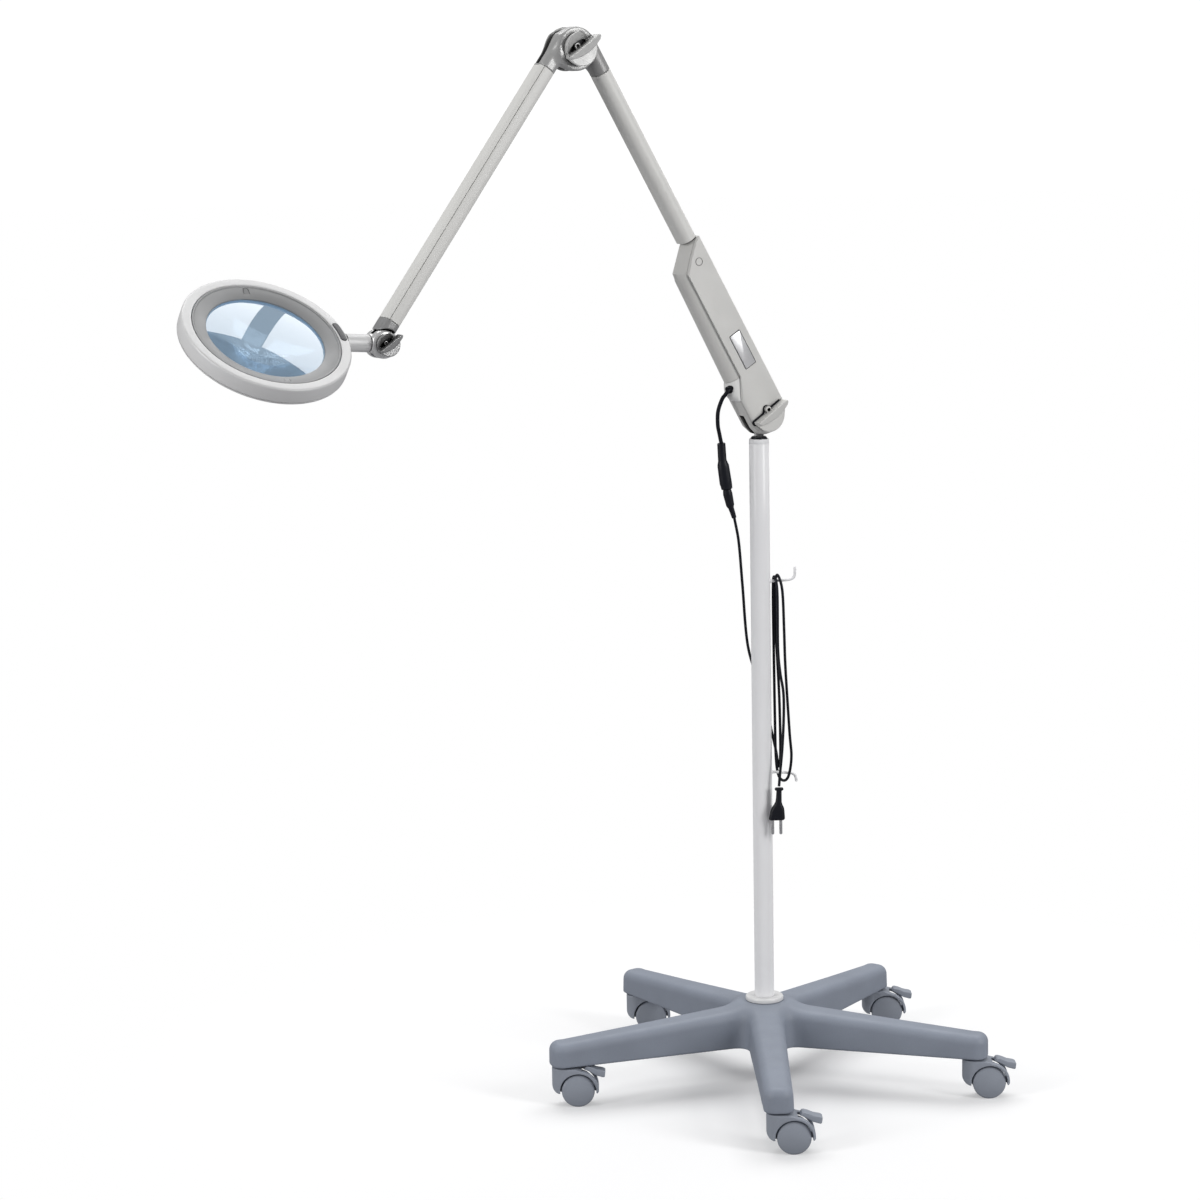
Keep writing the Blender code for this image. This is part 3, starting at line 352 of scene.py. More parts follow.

# Colour, roughness, metallic, grain, bump, mottle, wear, shine, painted crevice shade and streak of each
# finish.
FINISHES = {
    "base_grey": ((0.25, 0.278, 0.335), 0.56, 0, 620, 0.22, 0.07, 0.1),
    "castor_grey": ((0.29, 0.315, 0.365), 0.5, 0, 700, 0.16, 0.06, 0.16),
    "column_white": ((0.89, 0.89, 0.9), 0.3, 0, 1500, 0.008, 0.012, 0.06),
    "collar_white": ((0.72, 0.72, 0.72), 0.36, 0, 900, 0.02, 0.02),
    "arm_white": ((0.74, 0.735, 0.71), 0.4, 0, 1200, 0.006, 0.012, 0.06),
    "casing_grey": ((0.64, 0.635, 0.615), 0.46, 0.1, 850, 0.12, 0.04, 0.12, 0.5, CREVICE_SHADE_SHARE),
    "joint_grey": ((0.33, 0.328, 0.325), 0.4, 0.2, 900, 0.08, 0.05, 0.2, 0.5, CREVICE_SHADE_SHARE),
    "clevis_grey": ((0.42, 0.42, 0.415), 0.36, 0.3, 900, 0.08, 0.04, 0.2, 0.5, CREVICE_SHADE_SHARE),
    "fork_silver": ((0.74, 0.74, 0.74), 0.26, 0.5, 900, 0.04, 0.04, 0.2, 0.5, CREVICE_SHADE_SHARE),
    "wrist_grey": ((0.3, 0.3, 0.3), 0.38, 0.2, 900, 0.08, 0.05, 0.2, 0.5, CREVICE_SHADE_SHARE),
    "dark_joint": ((0.14, 0.14, 0.145), 0.4, 0.2, 900, 0.08, 0.06, 0.2),
    "knob_grey": ((0.58, 0.58, 0.57), 0.33, 0.1, 1000, 0.06, 0.03, 0.15, 0.5, CREVICE_SHADE_SHARE),
    "knob_dark": ((0.36, 0.36, 0.36), 0.25, 0.6, 1000, 0.04, 0.04, 0.2, 0.5, CREVICE_SHADE_SHARE),
    "head_grey": ((0.66, 0.66, 0.66), 0.38, 0.05, 1100, 0.06, 0.02),
    "bezel_grey": ((0.25, 0.253, 0.256), 0.44, 0.1, 1100, 0.06, 0.03),
    "outlet_white": ((0.8, 0.8, 0.79), 0.38, 0, 1000, 0.04, 0.02),
    "black_plastic": ((0.008, 0.009, 0.014), 0.42, 0, 1200, 0.1, 0.2, 0.3, 0.25),
    "cable_black": ((0.006, 0.007, 0.012), 0.42, 0, 900, 0.08, 0.2, 0.2, 0.2),
    "rubber_dark": ((0.075, 0.075, 0.08), 0.48, 0, 900, 0.12, 0.1, 0.25),
    "steel": ((0.6, 0.6, 0.61), 0.24, 1, 1600, 0.05, 0.04),
    "plate_silver": ((0.66, 0.66, 0.67), 0.3, 0.5, 1600, 0.05, 0.03, 0.12, 0.5, 0, True),
    "diffuser": ((0.8, 0.88, 0.97), 0.45, 0, 900, 0.05, 0.02),
    "board_green": ((0.05, 0.2, 0.1), 0.42, 0, 800, 0.1, 0.15),
    "holder_frost_painted_glow": ((0.6, 0.7, 0.8), 0.5, 0, 900, 0.05, 0.02),
}


def feed(node, inputs):
    """Links each of the node's inputs, by name or number, to a socket, or gives it a value."""
    for key, value in inputs.items():
        if isinstance(value, bpy.types.NodeSocket):
            node.id_data.links.new(value, node.inputs[key])
        else:
            node.inputs[key].default_value = value
    return node


def add_node(tree, kind, inputs=None, **settings):
    node = tree.nodes.new("ShaderNode" + kind)
    for key, value in settings.items():
        setattr(node, key, value)
    return feed(node, inputs or {})


def noise(place, scale, detail=3, roughness=0.55):
    inputs = {"Vector": place, "Scale": scale, "Detail": detail, "Roughness": roughness}
    return add_node(place.id_data, "TexNoise", inputs).outputs["Fac"]


def remap(value, low, high, start, end):
    inputs = {"Value": value, "From Min": low, "From Max": high, "To Min": start, "To Max": end}
    return add_node(value.id_data, "MapRange", inputs).outputs["Result"]


def combine(operation, first, second):
    return add_node(first.id_data, "Math", {0: first, 1: second}, operation=operation).outputs[0]


def mix_colour(share, first, second):
    return add_node(share.id_data, "Mix", {0: share, 6: first, 7: second}, data_type="RGBA").outputs[2]


def mix_shader(share, first, second):
    inputs = {0: share, 1: first.outputs[0], 2: second.outputs[0]}
    return add_node(first.id_data, "MixShader", inputs)


def shade(colour, factor):
    return tuple(min(1, c * factor) for c in colour) + (1,)


def surface(name, colour, roughness, metallic=0, grain=900, bump=0.06, mottle=0.05, wear=0.12,
            shine=0.5, crevice_shade=0, streak=False):
    """Moulded or painted finish: drifting tone, speckle, fine grain, smudges, eased and worn edges.
    The crevice share is painted shade: tone darkened towards black deep in slots and corners."""
    material = bpy.data.materials.new(name)
    material.use_nodes = True
    tree = material.node_tree
    place = add_node(tree, "TexCoord").outputs["Object"]
    drift = remap(noise(place, 14, 2), 0.3, 0.7, 0, 1)
    speckle = noise(place, grain, 2, 0.7)
    tone = mix_colour(drift, shade(colour, 1 - mottle), shade(colour, 1 + mottle))
    fleck = remap(speckle, 0.3, 0.7, 0, 0.3)
    tone = mix_colour(fleck, tone, shade(colour, 1 - 2.2 * mottle))
    eased = add_node(tree, "Bevel", {"Radius": EDGE_EASE}, samples=4).outputs["Normal"]
    plain = add_node(tree, "NewGeometry").outputs["Normal"]
    facing = add_node(tree, "VectorMath", {0: eased, 1: plain}, operation="DOT_PRODUCT")
    edge = remap(facing.outputs["Value"], 0.9, 0.6, 0, wear)
    broken = remap(noise(place, 120, 4, 0.7), 0.35, 0.65, 0.2, 1)
    tone = mix_colour(combine("MULTIPLY", edge, broken), tone, shade(colour, 1.45))
    # Painted shade: tone darkened towards black in slots, corners and hollows that ambient occlusion finds.
    if crevice_shade:
        occlusion = add_node(tree, "AmbientOcclusion", {"Distance": CREVICE_SHADE_REACH}, samples=6)
        deep = remap(occlusion.outputs["AO"], 0.66, 0.34, 0, crevice_shade)
        tone = mix_colour(deep, tone, SHADE_BLACK)
    smudge = noise(place, 42, 3)
    spread = min(0.06, 0.01 + 0.8 * bump)
    height = speckle
    if streak:
        stretch = add_node(tree, "Mapping", {"Vector": place, "Scale": (1, 1, 0.03)})
        height = noise(stretch.outputs["Vector"], grain, 2)
    relief = {"Strength": bump, "Distance": GRAIN_DEPTH, "Height": height, "Normal": eased}
    feed(tree.nodes["Principled BSDF"], {
        "Base Color": tone,
        "Roughness": remap(smudge, 0.3, 0.7, roughness - spread, roughness + spread),
        "Metallic": metallic,
        "Specular IOR Level": shine,
        "Normal": add_node(tree, "Bump", relief).outputs["Normal"],
    })
    MATERIALS[name] = material
    return material


def show_mixed(tree, output, share, first, second):
    """Sends a blend of two shaders to the tree's output."""
    feed(tree.nodes[output], {"Surface": mix_shader(share, first, second).outputs[0]})


def glowing(name, colour, strength):
    """Adds a faint light of its own to a finish."""
    tree = MATERIALS[name].node_tree
    light = {"Emission Color": colour + (1,), "Emission Strength": strength}
    feed(tree.nodes["Principled BSDF"], light)


def lens_glass():
    """Clear glass with a cool tint, a mirror-like face and a faint painted glow of its own in place of haze
    from the ring of lamps, that lets light through to the floor."""
    tint = (0.18, 0.245, 0.31)
    tree = surface("lens_glass", tint, 0.08, grain=300, bump=0, mottle=0.01, wear=0).node_tree
    shader = tree.nodes["Principled BSDF"]
    for link in list(shader.inputs["Roughness"].links) + list(shader.inputs["Normal"].links):
        tree.links.remove(link)
    smear = noise(tree.nodes["Texture Coordinate"].outputs["Object"], 30, 3)
    blur = remap(smear, 0.45, 0.75, 0, 0.015)
    feed(shader, {"Roughness": blur, "Transmission Weight": 1, "IOR": 1.5})
    # Painted glow: the glass gives off a faint bluish light of its own.
    glowing("lens_glass", (0.2, 0.28, 0.36), 0.28)
    mirror = add_node(tree, "BsdfAnisotropic", {"Roughness": 0.03})
    polished = mix_shader(0.085, shader, mirror)
    clear = add_node(tree, "BsdfTransparent", {"Color": (0.9, 0.95, 1, 1)})
    shadow = add_node(tree, "LightPath").outputs["Is Shadow Ray"]
    show_mixed(tree, "Material Output", shadow, polished, clear)


def make_materials():
    for name, values in FINISHES.items():
        surface(name, *values)
    # Painted glow: the frosted lens holder gives off a faint blue light of its own, standing in for the lit
    # ring's light through it.
    glowing("holder_frost_painted_glow", (0.42, 0.56, 0.72), 0.55)
    glowing("diffuser", (0.6, 0.75, 0.92), 0.8)
    lens_glass()


# Pieces


def make_mesh(name, shape, where):
    verts, faces = shape
    points = np.array([tuple(v) for v in verts], float)
    matrix = np.array(where, float)
    points = (points @ matrix[:3, :3].T + matrix[:3, 3]) * MM
    mesh = bpy.data.meshes.new(name)
    mesh.from_pydata(points.tolist(), [], faces)
    bm = bmesh.new()
    bm.from_mesh(mesh)
    bmesh.ops.remove_doubles(bm, verts=bm.verts, dist=1e-6)
    bmesh.ops.recalc_face_normals(bm, faces=bm.faces)
    bm.to_mesh(mesh)
    bm.free()
    return mesh


def add_object(name, data):
    obj = bpy.data.objects.new(name, data)
    bpy.context.scene.collection.objects.link(obj)
    return obj


def make_object(name, shape, where):
    return add_object(name, make_mesh(name, shape, where))


def settle(obj):
    """Applies the object's modifiers."""
    bpy.context.view_layer.update()
    depsgraph = bpy.context.evaluated_depsgraph_get()
    mesh = bpy.data.meshes.new_from_object(obj.evaluated_get(depsgraph))
    obj.modifiers.clear()
    obj.data = mesh


def cut(obj, shapes, where):
    """Takes the shapes out of the piece."""
    tools = []
    for shape in shapes:
        tool = make_object("tool", shape, where)
        modifier = obj.modifiers.new("cut", "BOOLEAN")
        modifier.operation = "DIFFERENCE"
        modifier.object = tool
        tools.append(tool)
    settle(obj)
    for tool in tools:
        bpy.data.objects.remove(tool, do_unlink=True)


def soften(obj, width):
    modifier = obj.modifiers.new("Soften", "BEVEL")
    modifier.width = width * MM
    modifier.segments = 3
    modifier.limit_method = "ANGLE"
    modifier.angle_limit = radians(35)
    modifier.harden_normals = False
    settle(obj)


def paint(obj, material):
    obj.data.materials.clear()
    obj.data.materials.append(MATERIALS[material])


def dress(obj, body, material, node=None, sharp=40):
    """Gives a piece its finish and body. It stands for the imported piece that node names."""
    paint(obj, material)
    obj.data.shade_smooth()
    obj.data.set_sharp_from_angle(angle=radians(sharp))
    if body:
        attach(obj, body)
    if node:
        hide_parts(node)


def soft_piece(name, shape, where, body, material, node, passes=2):
    """Piece whose mesh comes from a distance field: relaxed, then shaded smooth all over."""
    obj = make_object(name, shape, where)
    modifier = obj.modifiers.new("Relax", "SMOOTH")
    modifier.factor = 0.5
    modifier.iterations = passes
    settle(obj)
    dress(obj, body, material, node, 180)


def piece(name, shape, where, body, material, node=None, sharp=40, cuts=(), bevel=0):
    obj = make_object(name, shape, where)
    if cuts:
        cut(obj, cuts, where)
    if bevel:
        soften(obj, bevel)
    dress(obj, body, material, node, sharp)


# Base

ARM_REACH = (12, 62, 180, 272)
ARM_HALF = (23, 22.5, 20, 18.4)
ARM_TOP = (51.5, 47.5, 38.2, 31.4)
ARM_END = 292
HUB_TOP = 55.4


def star_field(x, y, z):
    field = None
    for castor in CASTORS:
        direction = castor.to_2d().normalized()
        reach = x * direction.x + y * direction.y
        side = abs(y * direction.x - x * direction.y)
        across = side - np.interp(reach, ARM_REACH, ARM_HALF) + 0.035 * (z - 10)
        along = abs(reach - ARM_END / 2) - ARM_END / 2
        plan = round_edge(across, along, 14)
        arm = round_edge(plan, z - np.interp(reach, ARM_REACH, ARM_TOP), 11.5)
        field = arm if field is None else smooth_min(field, arm, 13)
    radius = from_axis(x, y)
    hub = round_edge(radius - 44, z - 53, 20)
    field = smooth_min(field, hub, 17)
    field = smooth_max(field, z - HUB_TOP, 1.5)
    field = smooth_max(field, 0.4 - z, 1.6)
    bore = np.maximum(radius - 12.8, 8 - z)
    field = np.maximum(field, -bore)
    for castor in CASTORS:
        socket = np.maximum(np.hypot(x - castor.x, y - castor.y) - 5.8, z - 23.8)
        field = np.maximum(field, -socket)
    return field


def base():
    star = net(star_field, (-292, -296, -3), (292, 262, 60), 1.5)
    soft_piece("star_base", star, WORLD, "base", "base_grey", "base_star", passes=4)
    low_z = HUB_TOP + 0.3
    profile = [(12.8, low_z), (23.8, low_z)] + arc((23.5, low_z + 1), 1, -80, 0, 4)
    profile += arc((21.9, low_z + 3.1), 2.6, 0, 90, 8) + [(13.6, low_z + 5.8), (12.8, low_z + 5.2)]
    piece("column_collar", lathe(profile, 128), WORLD, "base", "collar_white", "base_collar")


def rod_hook(name, node, z, reach, turn):
    rise = copysign(1, turn)
    points = [(12.4, 0, z), (20, 0, z + 0.3 * rise), (reach - 8, 0, z + 1.5 * rise),
              (reach - 2.2, 0, z + 3.5 * rise), (reach, 0, z + 7.5 * rise), (reach + 0.5, 0, z + turn)]
    rod = swept(smooth_path(points, 8), 1.75, 20, True)
    weld = swept([Vector((x, 0, z)) for x in (12, 12.9, 13.8)], [3.4, 2.9, 1.9], 20)
    piece(name, joined(rod, weld), WORLD, "base", "column_white", node)


def column():
    foot, top = [corner.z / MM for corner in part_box("column_tube")]
    profile = [(0, foot), (12.5, foot)] + [(12.5, z) for z in (120, 260, 400, 540, 680)]
    profile += [(12.5, top - 6.2), (12.35, top - 6), (12.35, top - 5.7), (12.5, top - 5.5)]
    profile += arc((11.5, top - 1), 1, 0, 90, 6) + [(10.8, top), (10.8, top - 40), (0, top - 40)]
    piece("column_pipe", lathe(profile, 128), WORLD, "base", "column_white", "column_tube")
    bush = [(6.3, top - 32), (10.5, top - 32), (10.5, top + 0.2), (10.2, top + 1.6), (9.4, top + 2),
            (8.2, top + 2), (6.9, top + 1.6), (6.3, top + 1.2)]
    piece("bush", lathe(bush, 96), WORLD, "base", "black_plastic", "column_bush")
    rod_hook("hook_upper", "upper_cable_hook", 605, 43.5, 16.5)
    rod_hook("hook_lower", "lower_cable_hook", 357, 43, -11.5)


# Castors

TRAIL = 18
CASTOR_SIDE = [(-33.5, 29.2), (-33.5, 6.5)] + arc((-23.5, 6.5), 10, 180, 270, 8)[1:]
CASTOR_SIDE += [(-10, -8), (0, -10), (10, -8), (20, -3), (24.6, -3.6), (26.4, -2)]
CASTOR_SIDE += arc((0, 0), 26.6, 0, 82, 14) + [(0.5, 27.8), (-4.5, 29.2)]
CASTOR_PLAN = arc((-TRAIL, 0), 15.5, 270, 90, 24)
CASTOR_PLAN += [(-9, 17), (22, 17), (27, 12), (27, -12), (22, -17), (-9, -17)]
LEVER = [(7.6, 26.6), (9.6, 30), (12.4, 30.5), (17, 29.2), (24, 26.2), (32, 24.6),
         (35, 23), (34.2, 16.4), (32.4, 15.4), (23.4, 18), (13.6, 24)]


def castor_field(x, y, z):
    side = polygon(x, z, CASTOR_SIDE)
    plan = polygon(x, y, CASTOR_PLAN)
    body = round_edge(side, plan, 1.3)
    axle_gap = from_axis(x, z)
    pocket = np.maximum(axle_gap - 23, 3.5 - abs(y))
    body = smooth_max(body, -pocket, 0.7)
    window = [(5, 22.2), (5, 40), (40, 40), (40, 6), (21.5, 6), (15.5, 16.5)]
    opening = np.maximum(polygon(x, z, window), abs(y) - 8.7)
    body = smooth_max(body, -opening, 0.6)
    bore = axle_gap - 3.4
    body = np.maximum(body, -bore)
    neck = np.hypot(x + TRAIL, y)
    stem = np.maximum(neck - 5.4, z - 54)
    body = np.minimum(body, np.maximum(stem, 20 - z))
    return body


def lever_field(x, y, z):
    return round_edge(polygon(x, z, LEVER), abs(y) - 7.9, 1.1)


def wheel_shape():
    half = [(3, 3.9), (19.6, 3.9)] + arc((19.6, 5.3), 1.4, 270, 360, 4)[1:] + [(21, 12.2)]
    half += arc((19.6, 12.2), 1.4, 0, 70, 4) + [(18.6, 14.3), (18.2, 14.35)]
    half += [(r, 16.7 - 2.3 * (r / 18) ** 2) for r in (17.6, 14, 10, 6, 2)] + [(0, 16.7)]
    profile = [(r, -h) for r, h in reversed(half)] + half
    return turned(lathe(profile, 96), ALONG_Y)


def castors():
    fork = net(castor_field, (-36, -19, -13), (30, 19, 56), 0.7)
    lever = net(lever_field, (5, -9.5, 13), (37, 9.5, 34), 0.5)
    wheels = wheel_shape()
    for number in range(1, 6):
        name = "castor_%d" % number
        pair = name + "_wheel_pair"
        axle = Matrix.Translation(joint_point(name + "_roll"))
        soft_piece(name + "_fork", fork, axle, name, "castor_grey", name + "_housing")
        piece(name + "_twin_wheel", wheels, axle, pair, "castor_grey", name + "_wheels", sharp=50)
        soft_piece(name + "_pedal", lever, axle, name + "_brake_lever", "castor_grey", name + "_brake")


# Lower arm

PROFILE_W = 21
PROFILE_D = 28
PROFILE_C = 7.5
LOWER_TUBE_Y = -20.5
FOREARM_TUBE_Y = -16
CASING_HALF = 16
CASING_TOP = 243
SPINE_HALF = 12.6
LOW_END_X = 33
SPINE_START_X = 60
SPINE_TOP_X = 206
LEAD_HOLE_X = 52.5
FORK_SLOT = -5
LOWER_CORNER = 9.8
CASING_BACK = -31
CASING_NOSE_R = 28.5
KNOB_R = 21.2


def section(x, y, width, depth, corner):
    return [(x, a, b) for a, b in rounded_rectangle((y, 0), width, depth, corner, 12)]


def low_end_height(n):
    """Top of the casing's lower end at height n: over the faces, plus a full swell between them."""
    return 16.7 + 6.5 * max(0, 1 - abs(n / CASING_HALF) ** 3) ** (1 / 3)


def spine_height(x, n):
    """Top of the half-round spine, which grows fuller towards the lower end."""
    share = (SPINE_TOP_X - x) / (SPINE_TOP_X - SPINE_START_X)
    return 7 + (10.6 + 4.4 * share) * sqrt(max(0, 1 - (n / SPINE_HALF) ** 2))


def casing_outline(n, inset):
    """Outline of the casing at height n above the arm's middle plane: flat faces, half-round spine
    that runs on round the lower end, and a scooped shoulder that ends the flat face in a lancet."""
    back = CASING_BACK + inset
    points = [(CASING_TOP - inset * 0.4, back)]
    points += [(CASING_TOP - CASING_TOP * i / 12, back) for i in range(1, 12)]
    tuck = 6.5 * (1 - sqrt(max(0, 1 - (n / CASING_HALF) ** 2)))
    for i in range(37):
        turn = i / 36
        share = min(1, 1.6 * turn)
        radius = CASING_NOSE_R - inset - tuck * share * share * (3 - 2 * share)
        points += arc((0, -2.5), radius, 270 - 144 * turn, 270, 1)[:1]
    low_end = low_end_height(n) - inset * 0.5
    points += [(-6, low_end), (3, low_end), (12, low_end), (LOW_END_X, low_end)]
    for i in range(13):
        x = SPINE_START_X + (SPINE_TOP_X - SPINE_START_X) * i / 12
        points.append((x, spine_height(x, n) - inset * 0.3))
    scoop = 1 - abs(n) / CASING_HALF
    for i in range(13):
        t = i / 12
        face = Vector((209 + 37.5 * t - 5 * t * t, 6.7 - 34.6 * t))
        middle = Vector((218 + 25 * t, 17.6 - 27.6 * t))
        point = face.lerp(middle, scoop)
        start = min(point.y, spine_height(SPINE_TOP_X, n))
        points.append((point.x, start if i == 0 else point.y))
    return points


def casing_levels(low, high, edge):
    """Heights from face to face, closer together where the spine meets the flat, with eased rims."""
    heights = [SPINE_HALF * sin(radians(a)) for a in range(-90, 91, 9)]
    heights += [-13, -13.8, -14.6, 14.2]
    rims = [(low, edge), (low + 0.3, edge * 0.35), (low + 0.9, 0)]
    rims += [(high, edge), (high - 0.3, edge * 0.35), (high - 0.9, 0)]
    levels = [(n, 0) for n in heights if low + 1 < n < high - 1]
    return sorted(levels + rims)


def casing_solid(low, high, edge):
    levels = casing_levels(low, high, edge)
    return loft([[(x, y, n) for x, y in casing_outline(n, inset)] for n, inset in levels])


def knob_field(radius, deep, half):
    """Cup that narrows towards its seat, dished on one side of a thick bar that runs past the rim.
    With half set, the dished side is left away."""
    scale = radius / KNOB_R
    leaf = [(-19.6, 2.2), (-20.2, -1), (-17, -3.4), (-6, -7), (6, -8.4), (18, -7),
            (26, -4), (28.8, -1.2), (28.6, 1.2), (26.6, 2.2)]

    def field(x, y, z):
        x = x / scale
        y = y / scale
        z = z / deep
        reach = from_axis(x, y)
        cone = (reach - 18.6 - 0.22 * z) * 0.976
        disc = round_edge(cone, between(z, 0, 11.6), 1.2)
        rise = np.clip((y - 2.2) / 17, 0, 1)
        dish = (2.6 + 8.4 * rise ** 1.4 - z) * 0.85
        dish = np.maximum(dish, 1.8 - y)
        dish = np.maximum(dish, reach - 20.2)
        disc = smooth_max(disc, -dish if not half else 1 + y, 0.8)
        pocket = np.sqrt((x / 13.5) ** 2 + ((y - 1) / 7.6) ** 2) * 7.6 - 7.6
        disc = smooth_max(disc, -pocket, 0.4)
        boss = np.sqrt((x - (4 if half else -1)) ** 2 + (y - 4.2) ** 2)
        tube = np.maximum(round_edge(boss - 4, between(z, 0, 6.4), 0.8), 2.2 - boss)
        disc = np.minimum(disc, tube)
        ridge = (z - 15.6 + 0.24 * (2.2 - y)) * 0.97
        bar = round_edge(polygon(x, y, leaf), ridge, 0.9)
        bar = np.maximum(bar, 1 - z)
        return np.minimum(disc, bar) * min(scale, deep)

    return field


def knob(name, node, body, where, face, radius, deep, bar_angle, material, half=False):
    scale = radius / KNOB_R
    low = (-23 * scale, -23 * scale, -1)
    shape = net(knob_field(radius, deep, half), low, (30 * scale, 23 * scale, 17 * deep), 0.45)
    angle = Matrix.Rotation(radians(bar_angle), 4, "Z")
    at = where @ Matrix.Translation((0, 0, face + 0.4)) @ angle
    soft_piece(name, shape, at, body, material, node)
    # Painted shadow: a thin black plate just under the knob shows as a dark outline round it and at the
    # bottom of its pocket.
    edge = [(-20, 4.2), (-4, 4), (-1.2, 5), (0.4, 8), (2.4, 9.6), (5.6, 9.6), (7.6, 8),
            (9.2, 5), (12, 4), (25, 4), (25, 0), (-20.8, -3), (-22.4, 0), (-22, 3)]
    if not half:
        edge = arc((0, 0), 15.5, 0, 350, 35)
    shadow_plate = prism([(x * scale, y * scale) for x, y in edge], -0.25, 0.2)
    piece(name + "_shadow_plate", shadow_plate, at, body, "black_plastic")


def bolt(name, node, body, where, half, head_r, shank):
    back = -half - 0.3
    profile = [(0, back - 3.2), (head_r - 1.6, back - 3.2), (head_r - 0.4, back - 2.6),
               (head_r, back - 1.6), (head_r, back), (shank, back), (shank, half + 3.6), (0, half + 3.6)]
    socket = prism(arc((0, 0), head_r * 0.52, 0, 300, 5), back - 5, back - 1.2)
    piece(name, lathe(profile, 64), where, body, "steel", node, sharp=35, cuts=[socket])


def slot_plan(centre_angle, span, half_width, reach):
    first = centre_angle - span
    last = centre_angle + span
    points = arc(polar(half_width, first - 90), reach, first, first, 1)[:1]
    points += arc((0, 0), reach * 1.4, first, last, 12)
    points += arc(polar(half_width, last + 90), reach, last, last, 1)[:1]
    return points + arc((0, 0), half_width, last + 90, first + 270, 20)


def swivel():
    pin = [(0, -27), (5.2, -27), (6, -26), (6, 2.3), (9, 2.4), (9.2, 2.7), (8.8, 3),
           (4.8, 3.3), (4, 4.4), (4, 6.2), (0, 6.2)]
    top = Matrix.Translation(joint_point("arm_swivel"))
    rise = (SHOULDER - joint_point("arm_swivel")).z

    def field(x, y, z):
        neck = between(x, -rise + 2.7, -8)
        width = np.interp(x, (-rise, -22, -15, 0), (6.5, 6.5, 11.8, 12))
        blade = np.minimum(np.maximum(neck, abs(y) - width), from_axis(x, y) - 12)
        blade = round_edge(blade, abs(z) - 1.7, 0.7)
        return np.maximum(blade, 4.2 - from_axis(x, y))

    piece("swivel_pin", lathe(pin, 64), top, "swivel", "dark_joint")
    tongue = net(field, (-31, -14, -6), (14, 14, 6), 0.5)
    soft_piece("swivel_tongue", tongue, SWIVEL, "swivel", "fork_silver", "swivel_yoke")


def casing():
    half = CASING_HALF
    plate_at = (88.3, -12.6)
    hole = lathe(rectangle(0, 4.3, -30, 30), 48)
    slot = prism(slot_plan(142.5, 49.5, 12.5, 45), -5, 5)
    cavity = prism(rectangle(31, 203, -28, 4), -13.2, 30)
    shell_cuts = [prism(rectangle(33, 59.6, 7.6, 40), -20, 20), slot, hole, cavity]
    piece("casing_body", casing_solid(-half, 13.2, 1.6), LOWER, "lower_arm", "casing_grey", "casing_shell",
          sharp=28, cuts=shell_cuts)
    seat = prism(rounded_rectangle(plate_at, 48.8, 17.8, 1.4, 4), half - 1, 20)
    piece("casing_lid", casing_solid(13.5, half, 0.7), LOWER, "lower_arm", "casing_grey", "casing_cover",
          sharp=28, cuts=[hole, seat, mark_ring(216, -14.4, 4.75)])

    block = []
    for i in range(31):
        n = -15.4 + 28.4 * i / 30
        outline = [(33.3, 7.9), (59.3, 7.9)]
        for x in (59.3, 57, 55, 52.5, 50, 47.5, 45, 42.5, 40, 36.5, 33.3):
            share = (x - LOW_END_X) / (SPINE_START_X - LOW_END_X)
            y = low_end_height(n) * (1 - share) + spine_height(SPINE_START_X, n) * share
            swell = 5 * sin(pi * share) * sqrt(max(0, 1 - (n / 15.5) ** 2))
            outline.append((x, max(y + swell, 8.3)))
        block.append([(x, y, n) for x, y in outline])
    mouth = lathe(rectangle(0, 4.2, 6, 26), 48)
    mouth = turned(mouth, Matrix.Translation((LEAD_HOLE_X, 4, 6)) @ ALONG_Y)
    piece("cable_outlet", loft(block), LOWER, "lower_arm", "outlet_white", "lead_outlet", sharp=35,
          cuts=[mouth])
    lip = [(2.7, -3), (4.1, -3), (4.2, 0.2), (4.9, 0.3), (5.2, 0.9), (4.6, 1.7), (3.4, 2.1), (2.7, 1.6)]
    grommet_at = frame_at((LEAD_HOLE_X, 24.7, 6.4), (1, 0, 0), (0, 0.88, 0.47))
    piece("lead_grommet", turned(lathe(lip, 48), grommet_at), LOWER, "lower_arm", "black_plastic",
          "lead_outlet")
    plate = prism(rounded_rectangle(plate_at, 47, 16, 1, 4), half - 0.7, half + 0.7)
    piece("blank_plate", plate, LOWER, "lower_arm", "plate_silver", "label_plate", bevel=0.35)
    bolt("shoulder_pivot_bolt", "shoulder_bolt", "lower_arm", LOWER, half, 8, 4)


def mark_ring(x, y, radius):
    """Hairline circle pressed into the near face."""
    profile = rectangle(radius - 0.4, radius + 0.4, 15.3, 17)
    return turned(lathe(profile, 64), Matrix.Translation((x, y, 0)))


def profile_solid(start, end, y, corner=PROFILE_C):
    """Length of round-cornered tube with eased ends."""
    stations = [(start, 0.4), (start + 0.4, 0)]
    stations += [(start + (end - start) * i / 8, 0) for i in range(1, 8)]
    stations += [(end - 0.4, 0), (end, 0.4)]
    return loft([section(x, y, PROFILE_W - 2 * ease, PROFILE_D - 2 * ease, corner - ease)
                 for x, ease in stations])


def lower_tube():
    tube = profile_solid(243.3, 478.7, LOWER_TUBE_Y, LOWER_CORNER)
    piece("lower_profile", tube, LOWER, "lower_arm", "arm_white", "lower_arm_tube", sharp=30)


def tube_end(x, y, z, middle, corner, start, end):
    """Field of a short solid length of tube."""
    bar = round_edge(abs(y - middle) - PROFILE_W / 2, abs(z) - PROFILE_D / 2, corner)
    return round_edge(bar, between(x, start, end), 0.5)


